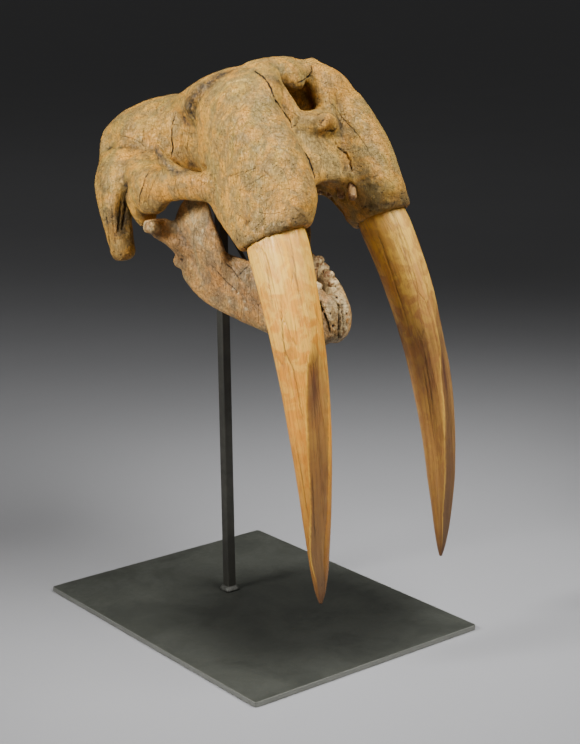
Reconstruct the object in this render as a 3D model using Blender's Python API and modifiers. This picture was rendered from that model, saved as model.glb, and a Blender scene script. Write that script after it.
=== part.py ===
"""Fossil walrus skull held on a black steel stand.

Metres, +Z up. The origin is the centre of the plate's underside and the skull faces -Y.
Bone, tusks and teeth are modelled in the skull's own frame: its origin is where the post's
axis meets the top of the plate, with the animal's left side at +X.
A station is one ring of a loft: (x, y, z of its centre, half width, half height), and for the
cheeks and tusks a sixth number, the degrees that the ring's front turns in to the midline.
"""
import math

import bmesh
import bpy
import numpy as np
from mathutils import Matrix, Vector

# Stand
PLATE_WIDTH = 0.356
PLATE_DEPTH = 0.468
PLATE_THICKNESS = 0.0064
PLATE_CORNER = 0.005
PLATE_EDGE = 0.0006
POST_X = 0.0051
POST_Y = 0.0690
POST_SIDE = 0.0127
POST_EDGE = 0.0012
CRADLE_TOP = 0.5440
CRADLE_RADIUS = 0.016
CRADLE_THICKNESS = 0.005
CONTACT_GAP = 0.0003
WELD_RADIUS = 0.0115
WELD_HEIGHT = 0.007
ARM_DIAMETER = 0.0046
ARM_ROUTE = ((0.0036, -0.0070, 0.5065), (0.0042, -0.0110, 0.5062), (0.0100, -0.0300, 0.4950),
             (0.0230, -0.0620, 0.4800), (0.0340, -0.0880, 0.4690), (0.0364, -0.0950, 0.4570),
             (0.0341, -0.0980, 0.4380))

# How the skull sits on its post: turned and leaning a little to its right
SEAT_HEIGHT = 0.4984
SEAT_TURN = math.radians(4.0)
SEAT_LEAN = math.radians(-1.5)

# Tusks: the centre line from socket (0) to tip (1) is a cubic, the section an ellipse
TUSK_SPREAD = (0.0886, 0.0482, -0.0325, 0.0)
TUSK_FORWARD = (-0.2123, -0.1999, 0.1746, -0.0458)
TUSK_SOCKET_Z = 0.5076
TUSK_TIP_Z = 0.0932
TUSK_ROOT = -0.20
SOCKET_END = 0.16
TUSK_TOE_IN = 20.0
TUSK_LEAN = (0.0, -0.434, -0.901)
TUSK_WIDTHS = ((-0.20, 0.0255, 0.0330), (0.0, 0.0288, 0.0375), (0.25, 0.0266, 0.0315),
               (0.5, 0.0230, 0.0247), (0.75, 0.0173, 0.0162), (0.9, 0.0098, 0.0108),
               (0.97, 0.0048, 0.0062), (1.0, 0.0016, 0.0022))
TUSK_RINGS = 18
SOCKET_RINGS = 7
TUSK_SIDES = 12
SOCKET_GAP = 0.0005

# Peg teeth
TEETH_PER_ROW = 4
TOOTH_RADIUS = 0.0052
TOOTH_LENGTH = 0.022
TOOTH_GAP = 0.0004
UPPER_ROW_FRONT = Vector((0.033, -0.210, 0.563))
UPPER_ROW_BACK = Vector((0.043, -0.140, 0.561))
LOWER_ROW_FRONT = Vector((0.014, -0.191, 0.4435))
LOWER_ROW_BACK = Vector((0.027, -0.152, 0.4645))

# Mesh sizes
BONE_VOXEL = 0.0030
CRANIUM_TRIANGLES = 4100
MANDIBLE_TRIANGLES = 1500
RING_SIDES = 24
SPLINE_STEPS = 4

PARTS = "fossil_walrus_skull"
GUIDES = "cutters"


def clear_scene():
    for thing in list(bpy.data.objects):
        bpy.data.objects.remove(thing, do_unlink=True)
    for group in list(bpy.data.collections):
        bpy.data.collections.remove(group)


def new_collection(name):
    group = bpy.data.collections.new(name)
    bpy.context.scene.collection.children.link(group)
    return group


def new_material(name, colour, roughness, metallic=0.0):
    material = bpy.data.materials.new(name)
    material.use_nodes = True
    shader = material.node_tree.nodes["Principled BSDF"]
    shader.inputs["Base Color"].default_value = (*colour, 1.0)
    shader.inputs["Roughness"].default_value = roughness
    shader.inputs["Metallic"].default_value = metallic
    material.diffuse_color = (*colour, 1.0)
    return material


def new_object(name, mesh, group=PARTS):
    thing = bpy.data.objects.new(name, mesh)
    bpy.data.collections[group].objects.link(thing)
    return thing


def as_mesh(name, shape):
    """Close a bmesh into a mesh whose faces point out."""
    bmesh.ops.recalc_face_normals(shape, faces=shape.faces)
    mesh = bpy.data.meshes.new(name)
    shape.to_mesh(mesh)
    shape.free()
    return mesh


def evaluated(thing):
    """The object's mesh with its modifiers applied."""
    graph = bpy.context.evaluated_depsgraph_get()
    return bpy.data.meshes.new_from_object(thing.evaluated_get(graph), depsgraph=graph)


def bake(thing):
    """Replace an object's mesh by its modified mesh."""
    mesh = evaluated(thing)
    thing.modifiers.clear()
    thing.data = mesh
    return thing


def through(stations, steps=SPLINE_STEPS):
    """A smooth run of stations through the given ones."""
    rows = np.array(stations, dtype=float)
    rows = np.vstack([2 * rows[0] - rows[1], rows, 2 * rows[-1] - rows[-2]])
    run = []
    for before, start, stop, after in zip(rows, rows[1:], rows[2:], rows[3:]):
        for t in np.arange(steps) / steps:
            run.append(0.5 * (2 * start + (stop - before) * t
                              + (2 * before - 5 * start + 4 * stop - after) * t ** 2
                              + (3 * start - before - 3 * stop + after) * t ** 3))
    run.append(rows[-2])
    return run


def ring(centre, across, rise, wide, high, square, sides):
    """Points of a superellipse: square 2 is an ellipse, higher is boxier."""
    points = []
    for step in range(sides):
        turn = math.tau * step / sides
        c, s = math.cos(turn), math.sin(turn)
        x = math.copysign(abs(c) ** (2 / square), c) * wide
        y = math.copysign(abs(s) ** (2 / square), s) * high
        points.append(centre + across * x + rise * y)
    return points


def ring_axes(ahead, up, side, toe_in):
    """The ring's two half axes, square to ahead, with its front turned in to the midline."""
    across = ahead.cross(up).normalized()
    rise = across.cross(ahead).normalized()
    c, s = math.cos(math.radians(toe_in)), side * math.sin(math.radians(toe_in))
    return across * c - rise * s, rise * c + across * s


def loft(stations, side=1, up=(0, 0, 1), facing=None, square=2.3, dome=0.6, sides=RING_SIDES,
         steps=SPLINE_STEPS):
    """A closed round-ended body through the stations, mirrored to -X when side is -1.

    Its rings stand square to the run, or to facing where that is given.
    """
    run = through(stations, steps)
    centres = [Vector((side * row[0], row[1], row[2])) for row in run]
    up = Vector((side * up[0], up[1], up[2]))
    last = len(run) - 1
    rings = []
    for i, row in enumerate(run):
        ahead = Vector(facing or centres[min(i + 1, last)] - centres[max(i - 1, 0)]).normalized()
        across, rise = ring_axes(ahead, up, side, row[5] if len(row) > 5 else 0.0)
        size = max(row[3], 0.0005), max(row[4], 0.0005)
        bulges = ()
        if dome and i in (0, last):
            bulges = [math.radians(a) for a in (75, 50, 25)]
        caps = [ring(centres[i] + ahead * (min(size) * dome * math.sin(b) * (1 if i else -1)),
                     across, rise, size[0] * math.cos(b), size[1] * math.cos(b), square, sides)
                for b in bulges]
        body = ring(centres[i], across, rise, *size, square, sides)
        rings += caps + [body] if i == 0 else [body] + caps[::-1]
    shape = bmesh.new()
    loops = [[shape.verts.new(point) for point in points] for points in rings]
    for lower, upper in zip(loops, loops[1:]):
        for k in range(sides):
            shape.faces.new((lower[k - 1], lower[k], upper[k], upper[k - 1]))
    shape.faces.new(loops[0])
    shape.faces.new(loops[-1])
    return as_mesh("loft", shape)


def ball(centre, radii, side=1, segments=20):
    """An ellipsoid, mirrored to -X when side is -1."""
    shape = bmesh.new()
    bmesh.ops.create_uvsphere(shape, u_segments=segments, v_segments=segments // 2, radius=1.0)
    place = Matrix.Translation((side * centre[0], centre[1], centre[2])) @ Matrix.Diagonal((*radii, 1))
    bmesh.ops.transform(shape, matrix=place, verts=shape.verts)
    return as_mesh("ball", shape)


def add_to(thing, meshes):
    """Put more closed bodies in an object."""
    shape = bmesh.new()
    shape.from_mesh(thing.data)
    for mesh in meshes:
        shape.from_mesh(mesh)
    shape.to_mesh(thing.data)
    shape.free()
    return thing


def join(name, meshes, group=PARTS):
    """Put several closed bodies in a new object."""
    return add_to(new_object(name, bpy.data.meshes.new(name), group), meshes)


def skin_over(thing, voxel, passes):
    """Merge overlapping bodies into one skin and soften the creases between them."""
    merge = thing.modifiers.new("merge", "REMESH")
    merge.mode = "VOXEL"
    merge.voxel_size = voxel
    soften = thing.modifiers.new("soften", "SMOOTH")
    soften.factor = 0.5
    soften.iterations = passes
    return bake(thing)


def guide(name, meshes):
    """A cutter: it is kept to read, and is no part of the object."""
    cutter = join(name, meshes, GUIDES)
    cutter.hide_render = True
    cutter.display_type = "WIRE"
    return cutter


def cut(thing, cutter):
    hollow = thing.modifiers.new("cut " + cutter.name, "BOOLEAN")
    hollow.operation = "DIFFERENCE"
    hollow.solver = "EXACT"
    hollow.use_self = True
    hollow.object = cutter
    return bake(thing)


def thin_out(thing, triangles):
    """Reduce a dense skin to about the given number of triangles."""
    faces = sum(len(face.vertices) - 2 for face in thing.data.polygons)
    coarse = thing.modifiers.new("coarse", "DECIMATE")
    coarse.ratio = triangles / faces
    coarse.use_collapse_triangulate = True
    return bake(thing)


def keep_largest(thing):
    """Delete crumbs that a remesh or a cut leaves loose."""
    shape = bmesh.new()
    shape.from_mesh(thing.data)
    left = set(shape.verts)
    islands = []
    while left:
        island, front = set(), [left.pop()]
        while front:
            corner = front.pop()
            island.add(corner)
            for edge in corner.link_edges:
                other = edge.other_vert(corner)
                if other in left:
                    left.remove(other)
                    front.append(other)
        islands.append(island)
    islands.sort(key=len)
    crumbs = [corner for island in islands[:-1] for corner in island]
    bmesh.ops.delete(shape, geom=crumbs, context="VERTS")
    shape.to_mesh(thing.data)
    shape.free()
    return thing


def vault():
    """Braincase, forehead and nasal roof along the midline."""
    braincase = loft([(0, -0.030, 0.640, 0.040, 0.046), (0, 0.010, 0.628, 0.048, 0.053),
                      (0, 0.045, 0.611, 0.066, 0.059), (0, 0.085, 0.601, 0.084, 0.063),
                      (0, 0.122, 0.594, 0.086, 0.058), (0, 0.148, 0.589, 0.076, 0.048)],
                     square=2.4, dome=0.4)
    roof = loft([(0, -0.143, 0.695, 0.038, 0.011), (0, -0.115, 0.694, 0.052, 0.021),
                 (0, -0.085, 0.686, 0.060, 0.025), (0, -0.050, 0.676, 0.060, 0.029),
                 (0, -0.015, 0.662, 0.048, 0.034), (0, 0.030, 0.642, 0.046, 0.034)], square=2.4)
    core = loft([(0, -0.160, 0.610, 0.044, 0.040), (0, -0.120, 0.622, 0.054, 0.054),
                 (0, -0.060, 0.624, 0.048, 0.046), (0, 0.000, 0.605, 0.042, 0.040)], square=2.6)
    face = loft([(0, -0.184, 0.575, 0.056, 0.024), (0, -0.177, 0.598, 0.056, 0.026),
                 (0, -0.167, 0.626, 0.050, 0.026), (0, -0.157, 0.648, 0.042, 0.025)],
                up=(0, -1, 0), square=2.8, dome=0.5)
    knob = ball((0.010, -0.186, 0.643), (0.024, 0.015, 0.015))
    floor = loft([(0, -0.030, 0.562, 0.026, 0.018), (0, 0.030, 0.553, 0.034, 0.016),
                  (0, 0.090, 0.548, 0.056, 0.020), (0, 0.145, 0.552, 0.056, 0.022)], square=2.8)
    return [braincase, roof, core, face, knob, floor]


def cheek(side):
    """The maxilla, swollen round the tusk's root, with the tooth row on its inner side."""
    shoulder = loft([(0.056, -0.118, 0.608, 0.041, 0.066, -12), (0.054, -0.110, 0.632, 0.043, 0.075, -13),
                     (0.052, -0.1035, 0.660, 0.042, 0.078, -13), (0.048, -0.106, 0.680, 0.039, 0.072, -13),
                     (0.041, -0.111, 0.698, 0.031, 0.057, -12), (0.032, -0.117, 0.710, 0.018, 0.038, -12)],
                    side, up=(0, -1, 0), facing=(0, 0, -1), square=2.3, dome=0.3)
    column = loft([(0.054, -0.103, 0.640, 0.044, 0.083, -16), (0.060, -0.125, 0.615, 0.0445, 0.082, -12),
                   (0.065, -0.146, 0.590, 0.0450, 0.081, -6), (0.072, -0.169, 0.565, 0.042, 0.073, 2),
                   (0.078, -0.191, 0.544, 0.037, 0.062, 12), (0.088, -0.2065, 0.521, 0.0335, 0.0465, 20)],
                  side, up=(0, -1, 0), facing=TUSK_LEAN, square=2.4, dome=0.0)
    row = loft([(0.036, -0.212, 0.576, 0.009, 0.014), (0.040, -0.175, 0.575, 0.010, 0.017),
                (0.044, -0.130, 0.573, 0.010, 0.016), (0.048, -0.090, 0.573, 0.010, 0.014)], side)
    brow = loft([(0.050, -0.098, 0.698, 0.010, 0.011), (0.062, -0.079, 0.693, 0.011, 0.012),
                 (0.071, -0.064, 0.684, 0.011, 0.013), (0.075, -0.052, 0.673, 0.011, 0.014),
                 (0.073, -0.044, 0.657, 0.010, 0.013), (0.067, -0.042, 0.643, 0.008, 0.010)],
                side, up=(0.3, -1, 0))
    return [shoulder, column, row, brow, nasal_lip(side)]


def cheek_arch(side):
    """Zygomatic arch from the cheek to the jaw joint, with the jugal's upward hook."""
    bar = loft([(0.088, -0.125, 0.578, 0.014, 0.022), (0.103, -0.090, 0.572, 0.012, 0.018),
                (0.110, -0.060, 0.575, 0.010, 0.021), (0.113, -0.030, 0.568, 0.011, 0.022),
                (0.109, 0.000, 0.558, 0.014, 0.026), (0.104, 0.024, 0.558, 0.014, 0.024)], side)
    hook = loft([(0.110, -0.060, 0.588, 0.007, 0.009), (0.115, -0.041, 0.599, 0.007, 0.008),
                 (0.117, -0.031, 0.611, 0.0060, 0.0070), (0.118, -0.026, 0.621, 0.0050, 0.0055)], side, up=(1, 0, 0))
    knuckle = ball((0.108, 0.004, 0.558), (0.019, 0.036, 0.030), side)
    behind = loft([(0.106, 0.032, 0.556, 0.020, 0.012), (0.101, 0.029, 0.532, 0.020, 0.009),
                   (0.098, 0.023, 0.515, 0.015, 0.006)], side, up=(0, -1, 0))
    root = loft([(0.100, 0.010, 0.566, 0.026, 0.020), (0.078, 0.040, 0.572, 0.034, 0.026),
                 (0.060, 0.070, 0.580, 0.034, 0.026)], side)
    return [bar, hook, knuckle, behind, root]


def skull_back(side):
    """Mastoid pillar, ear bulb, nape crest, the knuckle on the neck and the palate's wing."""
    pillar = loft([(0.086, 0.092, 0.588, 0.020, 0.030), (0.103, 0.086, 0.563, 0.020, 0.029),
                   (0.110, 0.077, 0.535, 0.019, 0.024), (0.112, 0.069, 0.505, 0.017, 0.018),
                   (0.111, 0.063, 0.472, 0.015, 0.016)], side, up=(0, -1, 0), square=2.4)
    crest = loft([(0.102, 0.104, 0.568, 0.008, 0.012), (0.088, 0.124, 0.596, 0.007, 0.009),
                  (0.066, 0.143, 0.618, 0.007, 0.008), (0.024, 0.153, 0.634, 0.007, 0.007)], side)
    bulb = ball((0.052, 0.070, 0.538), (0.024, 0.026, 0.017), side)
    neck_knuckle = ball((0.030, 0.160, 0.550), (0.017, 0.018, 0.022), side)
    wing = loft([(0.030, -0.062, 0.566, 0.006, 0.016), (0.029, -0.035, 0.552, 0.005, 0.016),
                 (0.028, -0.018, 0.543, 0.004, 0.010)], side)
    return [pillar, crest, bulb, neck_knuckle, wing]


def nasal_beak():
    """The front end of the nasal bones, which overhangs the opening."""
    return loft([(0, -0.100, 0.706, 0.044, 0.012), (0, -0.126, 0.704, 0.034, 0.016),
                 (0, -0.142, 0.697, 0.024, 0.016), (0, -0.153, 0.687, 0.013, 0.010)], square=2.4)


def nasal_pillar(side):
    """The rounded side wall of the nasal opening, from the beak down to the lip."""
    return loft([(0.035, -0.134, 0.707, 0.015, 0.014), (0.038, -0.149, 0.690, 0.015, 0.014),
                 (0.035, -0.163, 0.672, 0.014, 0.013), (0.028, -0.174, 0.656, 0.012, 0.012)], side, up=(0, -1, 0))


def nasal_lip(side):
    """The raised lower rim of the nasal opening."""
    return loft([(0.043, -0.150, 0.664, 0.010, 0.012), (0.036, -0.163, 0.655, 0.012, 0.014),
                 (0.025, -0.176, 0.647, 0.012, 0.013), (0.008, -0.186, 0.645, 0.012, 0.011)], side, dome=0.8)


def cranium_hollows():
    """Nasal passage, palate vault, throat, neck opening, and the hollows behind the sockets and joint."""
    nose = loft([(0, -0.206, 0.720, 0.044, 0.032), (0, -0.182, 0.698, 0.039, 0.028),
                 (0, -0.161, 0.681, 0.037, 0.026), (0, -0.135, 0.659, 0.027, 0.021),
                 (0, -0.075, 0.632, 0.017, 0.014)], square=2.1)
    palate = loft([(0, -0.250, 0.552, 0.030, 0.026), (0, -0.180, 0.554, 0.028, 0.022),
                   (0, -0.090, 0.548, 0.030, 0.022), (0, -0.040, 0.535, 0.026, 0.018)])
    throat = loft([(0, -0.014, 0.536, 0.021, 0.012), (0, -0.036, 0.556, 0.021, 0.013),
                   (0, -0.062, 0.580, 0.018, 0.011)])
    neck = ball((0, 0.172, 0.574), (0.018, 0.034, 0.015))
    hollows = [nose, palate, throat, neck]
    for side in (1, -1):
        hollows.append(ball((0.124, 0.050, 0.530), (0.026, 0.010, 0.036), side))
        hollows.append(loft([(0.130, -0.008, 0.519, 0.0165, 0.0145), (0.100, 0.002, 0.515, 0.0165, 0.0145),
                             (0.074, 0.010, 0.510, 0.016, 0.014)], side))
        hollows.append(loft([(0.060, -0.108, 0.528, 0.028, 0.028), (0.060, -0.138, 0.526, 0.026, 0.023),
                             (0.060, -0.155, 0.514, 0.022, 0.014), (0.060, -0.164, 0.503, 0.016, 0.009)], side))
        hollows.append(loft([(0.036, -0.112, 0.534, 0.020, 0.026), (0.040, -0.146, 0.534, 0.020, 0.024),
                             (0.048, -0.166, 0.522, 0.014, 0.015)], side))
        hollows.append(loft([(0.094, -0.130, 0.590, 0.007, 0.010), (0.090, -0.090, 0.586, 0.009, 0.011),
                             (0.086, -0.060, 0.584, 0.009, 0.012)], side))
    return guide("cranium_hollows", hollows)


def make_cranium():
    masses = vault()
    for side in (1, -1):
        masses += cheek(side) + cheek_arch(side) + skull_back(side)
    skull = skin_over(join("cranium", masses), BONE_VOXEL, 7)
    skull = add_to(cut(skull, cranium_hollows()), [nasal_beak(), nasal_pillar(1), nasal_pillar(-1)])
    skull = skin_over(skull, BONE_VOXEL, 3)
    return thin_out(keep_largest(skull), CRANIUM_TRIANGLES)


def jaw_half(side):
    """Half of the lower jaw: body, rising branch, neck and joint knuckle."""
    body = loft([(0.007, -0.212, 0.410, 0.015, 0.026), (0.016, -0.191, 0.411, 0.016, 0.040),
                 (0.029, -0.160, 0.421, 0.015, 0.042), (0.043, -0.122, 0.432, 0.014, 0.041),
                 (0.055, -0.088, 0.442, 0.013, 0.039), (0.065, -0.055, 0.453, 0.012, 0.036),
                 (0.072, -0.025, 0.468, 0.010, 0.026)], side)
    branch = loft([(0.062, -0.058, 0.450, 0.012, 0.036), (0.069, -0.050, 0.478, 0.011, 0.043),
                   (0.074, -0.043, 0.504, 0.009, 0.044), (0.075, -0.046, 0.528, 0.007, 0.036),
                   (0.075, -0.054, 0.550, 0.005, 0.018)], side, up=(0, -1, 0))
    neck = loft([(0.074, -0.022, 0.480, 0.010, 0.018), (0.086, -0.006, 0.500, 0.013, 0.011),
                 (0.098, 0.001, 0.513, 0.016, 0.008)], side, up=(0, -1, 0))
    knuckle = loft([(0.118, -0.004, 0.517, 0.0105, 0.0095), (0.100, 0.002, 0.514, 0.0115, 0.0100),
                    (0.082, 0.008, 0.509, 0.0100, 0.0090)], side)
    corner = ball((0.075, -0.008, 0.467), (0.009, 0.012, 0.010), side)
    return [body, branch, neck, knuckle, corner]


def make_mandible():
    chin = ball((0, -0.196, 0.405), (0.020, 0.028, 0.028))
    jaw = join("mandible", jaw_half(1) + jaw_half(-1) + [chin])
    return thin_out(keep_largest(skin_over(jaw, BONE_VOXEL, 5)), MANDIBLE_TRIANGLES)


def tusk_station(t, grow=0.0):
    """Ring of the tusk at t along it, grown all round by a gap for its socket."""
    powers = [t ** n for n in range(4)]
    x = sum(a * b for a, b in zip(TUSK_SPREAD, powers))
    y = sum(a * b for a, b in zip(TUSK_FORWARD, powers))
    z = TUSK_SOCKET_Z + (TUSK_TIP_Z - TUSK_SOCKET_Z) * t
    places, wides, highs = zip(*TUSK_WIDTHS)
    return (x, y, z, np.interp(t, places, wides) + grow, np.interp(t, places, highs) + grow, TUSK_TOE_IN)


def tusk_mesh(side, start, stop, rings, grow=0.0):
    stations = [tusk_station(t, grow) for t in np.linspace(start, stop, rings)]
    return loft(stations, side, up=(0, -1, 0), square=2.15, dome=0.0, sides=TUSK_SIDES, steps=1)


def make_tusks(skull):
    tusks = []
    for side, name in ((1, "left"), (-1, "right")):
        tusks.append(new_object("tusk_" + name, tusk_mesh(side, TUSK_ROOT, 1.0, TUSK_RINGS)))
        root = tusk_mesh(side, TUSK_ROOT - 2 * SOCKET_GAP, SOCKET_END, SOCKET_RINGS, SOCKET_GAP)
        cut(skull, guide("tusk_socket_" + name, [root]))
    return tusks


def tooth_mesh(grow=0.0):
    """A worn peg: its crown at +Z, its root at -Z."""
    half = TOOTH_LENGTH / 2
    wide = TOOTH_RADIUS + grow
    crown = 0.0 if grow == 0.0 else half
    stations = [(0, 0, -half - grow, wide * 0.55, wide * 0.6), (0, 0, -half * 0.3, wide, wide * 1.1),
                (0, 0, half * 0.6, wide, wide * 1.1), (0, 0, half + crown, wide * 0.7, wide * 0.75)]
    return loft(stations, up=(0, 1, 0), dome=0.0, sides=6, steps=1)


def tooth_places(front, back, crown_axis):
    """Where each peg stands between the two ends of its row."""
    for index in range(TEETH_PER_ROW):
        place = front.lerp(back, index / (TEETH_PER_ROW - 1))
        yield index + 1, place, crown_axis.to_track_quat("Z", "Y")


def make_teeth(jaw, row, front, back, crown_axis):
    teeth = []
    peg = tooth_mesh()
    for side, name in ((1, "left"), (-1, "right")):
        flip = Matrix.Diagonal((side, 1, 1))
        for index, place, turn in tooth_places(flip @ front, flip @ back, crown_axis):
            tooth = new_object(f"{row}_tooth_{name}_{index}", peg)
            pocket = guide(f"{row}_pocket_{name}_{index}", [tooth_mesh(TOOTH_GAP)])
            for thing in (tooth, pocket):
                thing.location = place
                thing.rotation_euler = turn.to_euler()
            bpy.context.view_layer.update()
            cut(jaw, pocket)
            teeth.append(tooth)
    return teeth


def bevelled_block(name, size, edge, corner=0.0):
    """A box centred in plan and standing on z = 0, with its edges rounded."""
    shape = bmesh.new()
    bmesh.ops.create_cube(shape, size=1.0)
    place = Matrix.Translation((0, 0, size[2] / 2)) @ Matrix.Diagonal((*size, 1))
    bmesh.ops.transform(shape, matrix=place, verts=shape.verts)
    if corner:
        upright = [e for e in shape.edges if abs(e.verts[0].co.z - e.verts[1].co.z) > size[2] / 2]
        bmesh.ops.bevel(shape, geom=upright, offset=corner, segments=4, profile=0.5, affect="EDGES")
    block = new_object(name, as_mesh(name, shape))
    rounding = block.modifiers.new("rounded edges", "BEVEL")
    rounding.width = edge
    rounding.segments = 2
    rounding.limit_method = "ANGLE"
    rounding.angle_limit = math.radians(60)
    return block


def disc(radius, thickness, sides=32):
    """A round plate standing on z = 0."""
    shape = bmesh.new()
    bmesh.ops.create_cone(shape, cap_ends=True, segments=sides, radius1=radius, radius2=radius, depth=thickness)
    bmesh.ops.translate(shape, verts=shape.verts, vec=(0, 0, thickness / 2))
    return as_mesh("disc", shape)


def make_cradle(skull):
    """The round pad on the post's top, let a little way into the bone that it carries."""
    cradle = new_object("skull_cradle", disc(CRADLE_RADIUS, CRADLE_THICKNESS))
    cradle.location = (0, 0, CRADLE_TOP - CRADLE_THICKNESS)
    pocket = guide("cradle_pocket", [disc(CRADLE_RADIUS + CONTACT_GAP, CRADLE_THICKNESS + CONTACT_GAP)])
    pocket.location = cradle.location
    bpy.context.view_layer.update()
    cut(skull, pocket)
    return cradle


def make_arm(side, name):
    """A bent rod from the post's front face to the inner side of the jaw."""
    route = bpy.data.curves.new(name, "CURVE")
    route.dimensions = "3D"
    route.bevel_depth = ARM_DIAMETER / 2
    route.bevel_resolution = 2
    route.use_fill_caps = True
    line = route.splines.new("POLY")
    line.points.add(len(ARM_ROUTE) - 1)
    for point, (x, y, z) in zip(line.points, ARM_ROUTE):
        point.co = (side * x, y, z, 1)
    return new_object(name, route)


def make_weld(foot):
    """The bead of weld round the post's foot, square like the post and flared at the plate."""
    wide, narrow = WELD_RADIUS, POST_SIDE * 0.6
    bead = new_object("post_weld", loft([(0, 0, 0, wide, wide), (0, 0, WELD_HEIGHT * 0.35, wide * 0.9, wide * 0.9),
                                         (0, 0, WELD_HEIGHT, narrow, narrow)],
                                        up=(0, 1, 0), square=4.0, dome=0.0, sides=16, steps=1))
    hole = POST_SIDE / 2 + CONTACT_GAP
    bore = guide("weld_bore", [loft([(0, 0, -0.01, hole, hole), (0, 0, 0.02, hole, hole)],
                                    up=(0, 1, 0), square=30.0, dome=0.0, sides=12, steps=1)])
    for thing in (bead, bore):
        thing.location = (POST_X, POST_Y, foot)
    bpy.context.view_layer.update()
    return cut(bead, bore)


def make_stand():
    plate = bevelled_block("base_plate", (PLATE_WIDTH, PLATE_DEPTH, PLATE_THICKNESS), PLATE_EDGE, PLATE_CORNER)
    foot = PLATE_THICKNESS + CONTACT_GAP
    length = CRADLE_TOP - CRADLE_THICKNESS - 3 * CONTACT_GAP
    post = bevelled_block("post", (POST_SIDE, POST_SIDE, length), POST_EDGE)
    post.location = (POST_X, POST_Y, foot)
    return [plate, post, make_weld(foot)]


def paint(things, material):
    for thing in things:
        thing.data.materials.clear()
        thing.data.materials.append(material)


def seat(things):
    """Hang the skull's pieces on an empty at the post's top that holds their turn and lean."""
    top = bpy.data.objects.new("seat", None)
    top.location = (POST_X, POST_Y, PLATE_THICKNESS + SEAT_HEIGHT)
    top.rotation_euler = (0, SEAT_LEAN, SEAT_TURN)
    foot = bpy.data.objects.new("skull_origin", None)
    foot.parent = top
    foot.location = (0, 0, -SEAT_HEIGHT)
    for empty in (top, foot):
        bpy.data.collections[PARTS].objects.link(empty)
    for thing in things:
        thing.parent = foot


def main():
    clear_scene()
    new_collection(PARTS)
    new_collection(GUIDES)
    skull = make_cranium()
    tusks = make_tusks(skull)
    upper = make_teeth(skull, "upper", UPPER_ROW_FRONT, UPPER_ROW_BACK, Vector((0, -0.15, -1)))
    jaw = make_mandible()
    lower = make_teeth(jaw, "lower", LOWER_ROW_FRONT, LOWER_ROW_BACK, Vector((0, -0.45, 0.9)))
    holders = [make_cradle(skull), make_arm(1, "jaw_arm_left"), make_arm(-1, "jaw_arm_right")]
    stand = make_stand()
    paint([skull], new_material("fossil_bone", (0.36, 0.24, 0.12), 0.62))
    paint([jaw], new_material("jaw_bone", (0.33, 0.19, 0.09), 0.62))
    paint(tusks, new_material("tusk_ivory", (0.50, 0.29, 0.10), 0.42))
    paint(upper[:1] + lower[:1], new_material("tooth", (0.62, 0.52, 0.36), 0.45))
    paint(stand + holders, new_material("blackened_steel", (0.045, 0.047, 0.042), 0.48))
    seat([skull, jaw] + tusks + upper + lower + holders)


main()
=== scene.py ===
# %% [markdown]
# # A fossil walrus skull on a steel stand
# The real object is a heavy tan skull with two long honey-brown tusks. A blackened steel post
# holds it over a flat plate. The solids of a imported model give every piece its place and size.
# This lesson dresses them: it gives bone, ivory, teeth and steel their fine shape and finish.

# %% Load the solids
import math

import bmesh
import bpy
import numpy as np
from mathutils import Euler, Matrix, Vector, noise
from mathutils.bvhtree import BVHTree


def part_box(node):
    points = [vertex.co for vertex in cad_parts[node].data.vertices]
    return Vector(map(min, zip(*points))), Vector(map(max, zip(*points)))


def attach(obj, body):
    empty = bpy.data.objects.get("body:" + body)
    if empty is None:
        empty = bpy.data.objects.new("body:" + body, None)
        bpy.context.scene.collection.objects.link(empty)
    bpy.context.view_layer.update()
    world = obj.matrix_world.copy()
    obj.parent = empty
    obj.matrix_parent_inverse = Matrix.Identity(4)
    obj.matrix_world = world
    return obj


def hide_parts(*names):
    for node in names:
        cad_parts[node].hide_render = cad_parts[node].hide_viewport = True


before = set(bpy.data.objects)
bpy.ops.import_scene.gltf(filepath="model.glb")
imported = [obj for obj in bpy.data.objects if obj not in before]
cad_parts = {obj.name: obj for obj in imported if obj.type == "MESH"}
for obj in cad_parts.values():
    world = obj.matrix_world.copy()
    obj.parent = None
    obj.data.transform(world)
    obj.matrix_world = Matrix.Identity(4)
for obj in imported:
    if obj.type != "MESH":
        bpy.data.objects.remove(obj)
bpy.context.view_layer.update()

# %% [markdown]
# ## The camera
# The view was worked out from the plate's four corners, whose real places are known: the camera
# stands to the skull's right, looks down a little, and rolls by less than a degree. Building it
# first pays off, because later cells use its lines of sight to lay seams and stains on the bone.

# %% Camera
FRAME_WIDE, FRAME_HIGH = 580, 744
FOCAL_PIXELS = 1619.8
VIEW_TURN, VIEW_DROP, VIEW_ROLL = -0.66035, 0.24994, -0.01318
VIEW_PLACE = Vector((-1.19700, -1.61949, 0.83982))


def view_axes(turn, drop, roll):
    """Right, up and back of a camera that is turned, tipped down and rolled."""
    back = Vector((math.sin(turn) * math.cos(drop), -math.cos(turn) * math.cos(drop), math.sin(drop)))
    right = Vector((math.cos(turn), math.sin(turn), 0))
    up = back.cross(right)
    c, s = math.cos(roll), math.sin(roll)
    return Matrix((right * c + up * s, up * c - right * s, back)).transposed()


camera = bpy.data.objects.new("photo_view", bpy.data.cameras.new("photo_view"))
bpy.context.scene.collection.objects.link(camera)
camera.data.sensor_width = 36
camera.data.lens = FOCAL_PIXELS / FRAME_HIGH * camera.data.sensor_width
VIEW_MATRIX = view_axes(VIEW_TURN, VIEW_DROP, VIEW_ROLL)
camera.matrix_world = Matrix.Translation(VIEW_PLACE) @ VIEW_MATRIX.to_4x4()
bpy.context.scene.camera = camera
print("camera", [round(v, 3) for v in VIEW_PLACE], "lens", round(camera.data.lens, 1), "mm")


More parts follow.
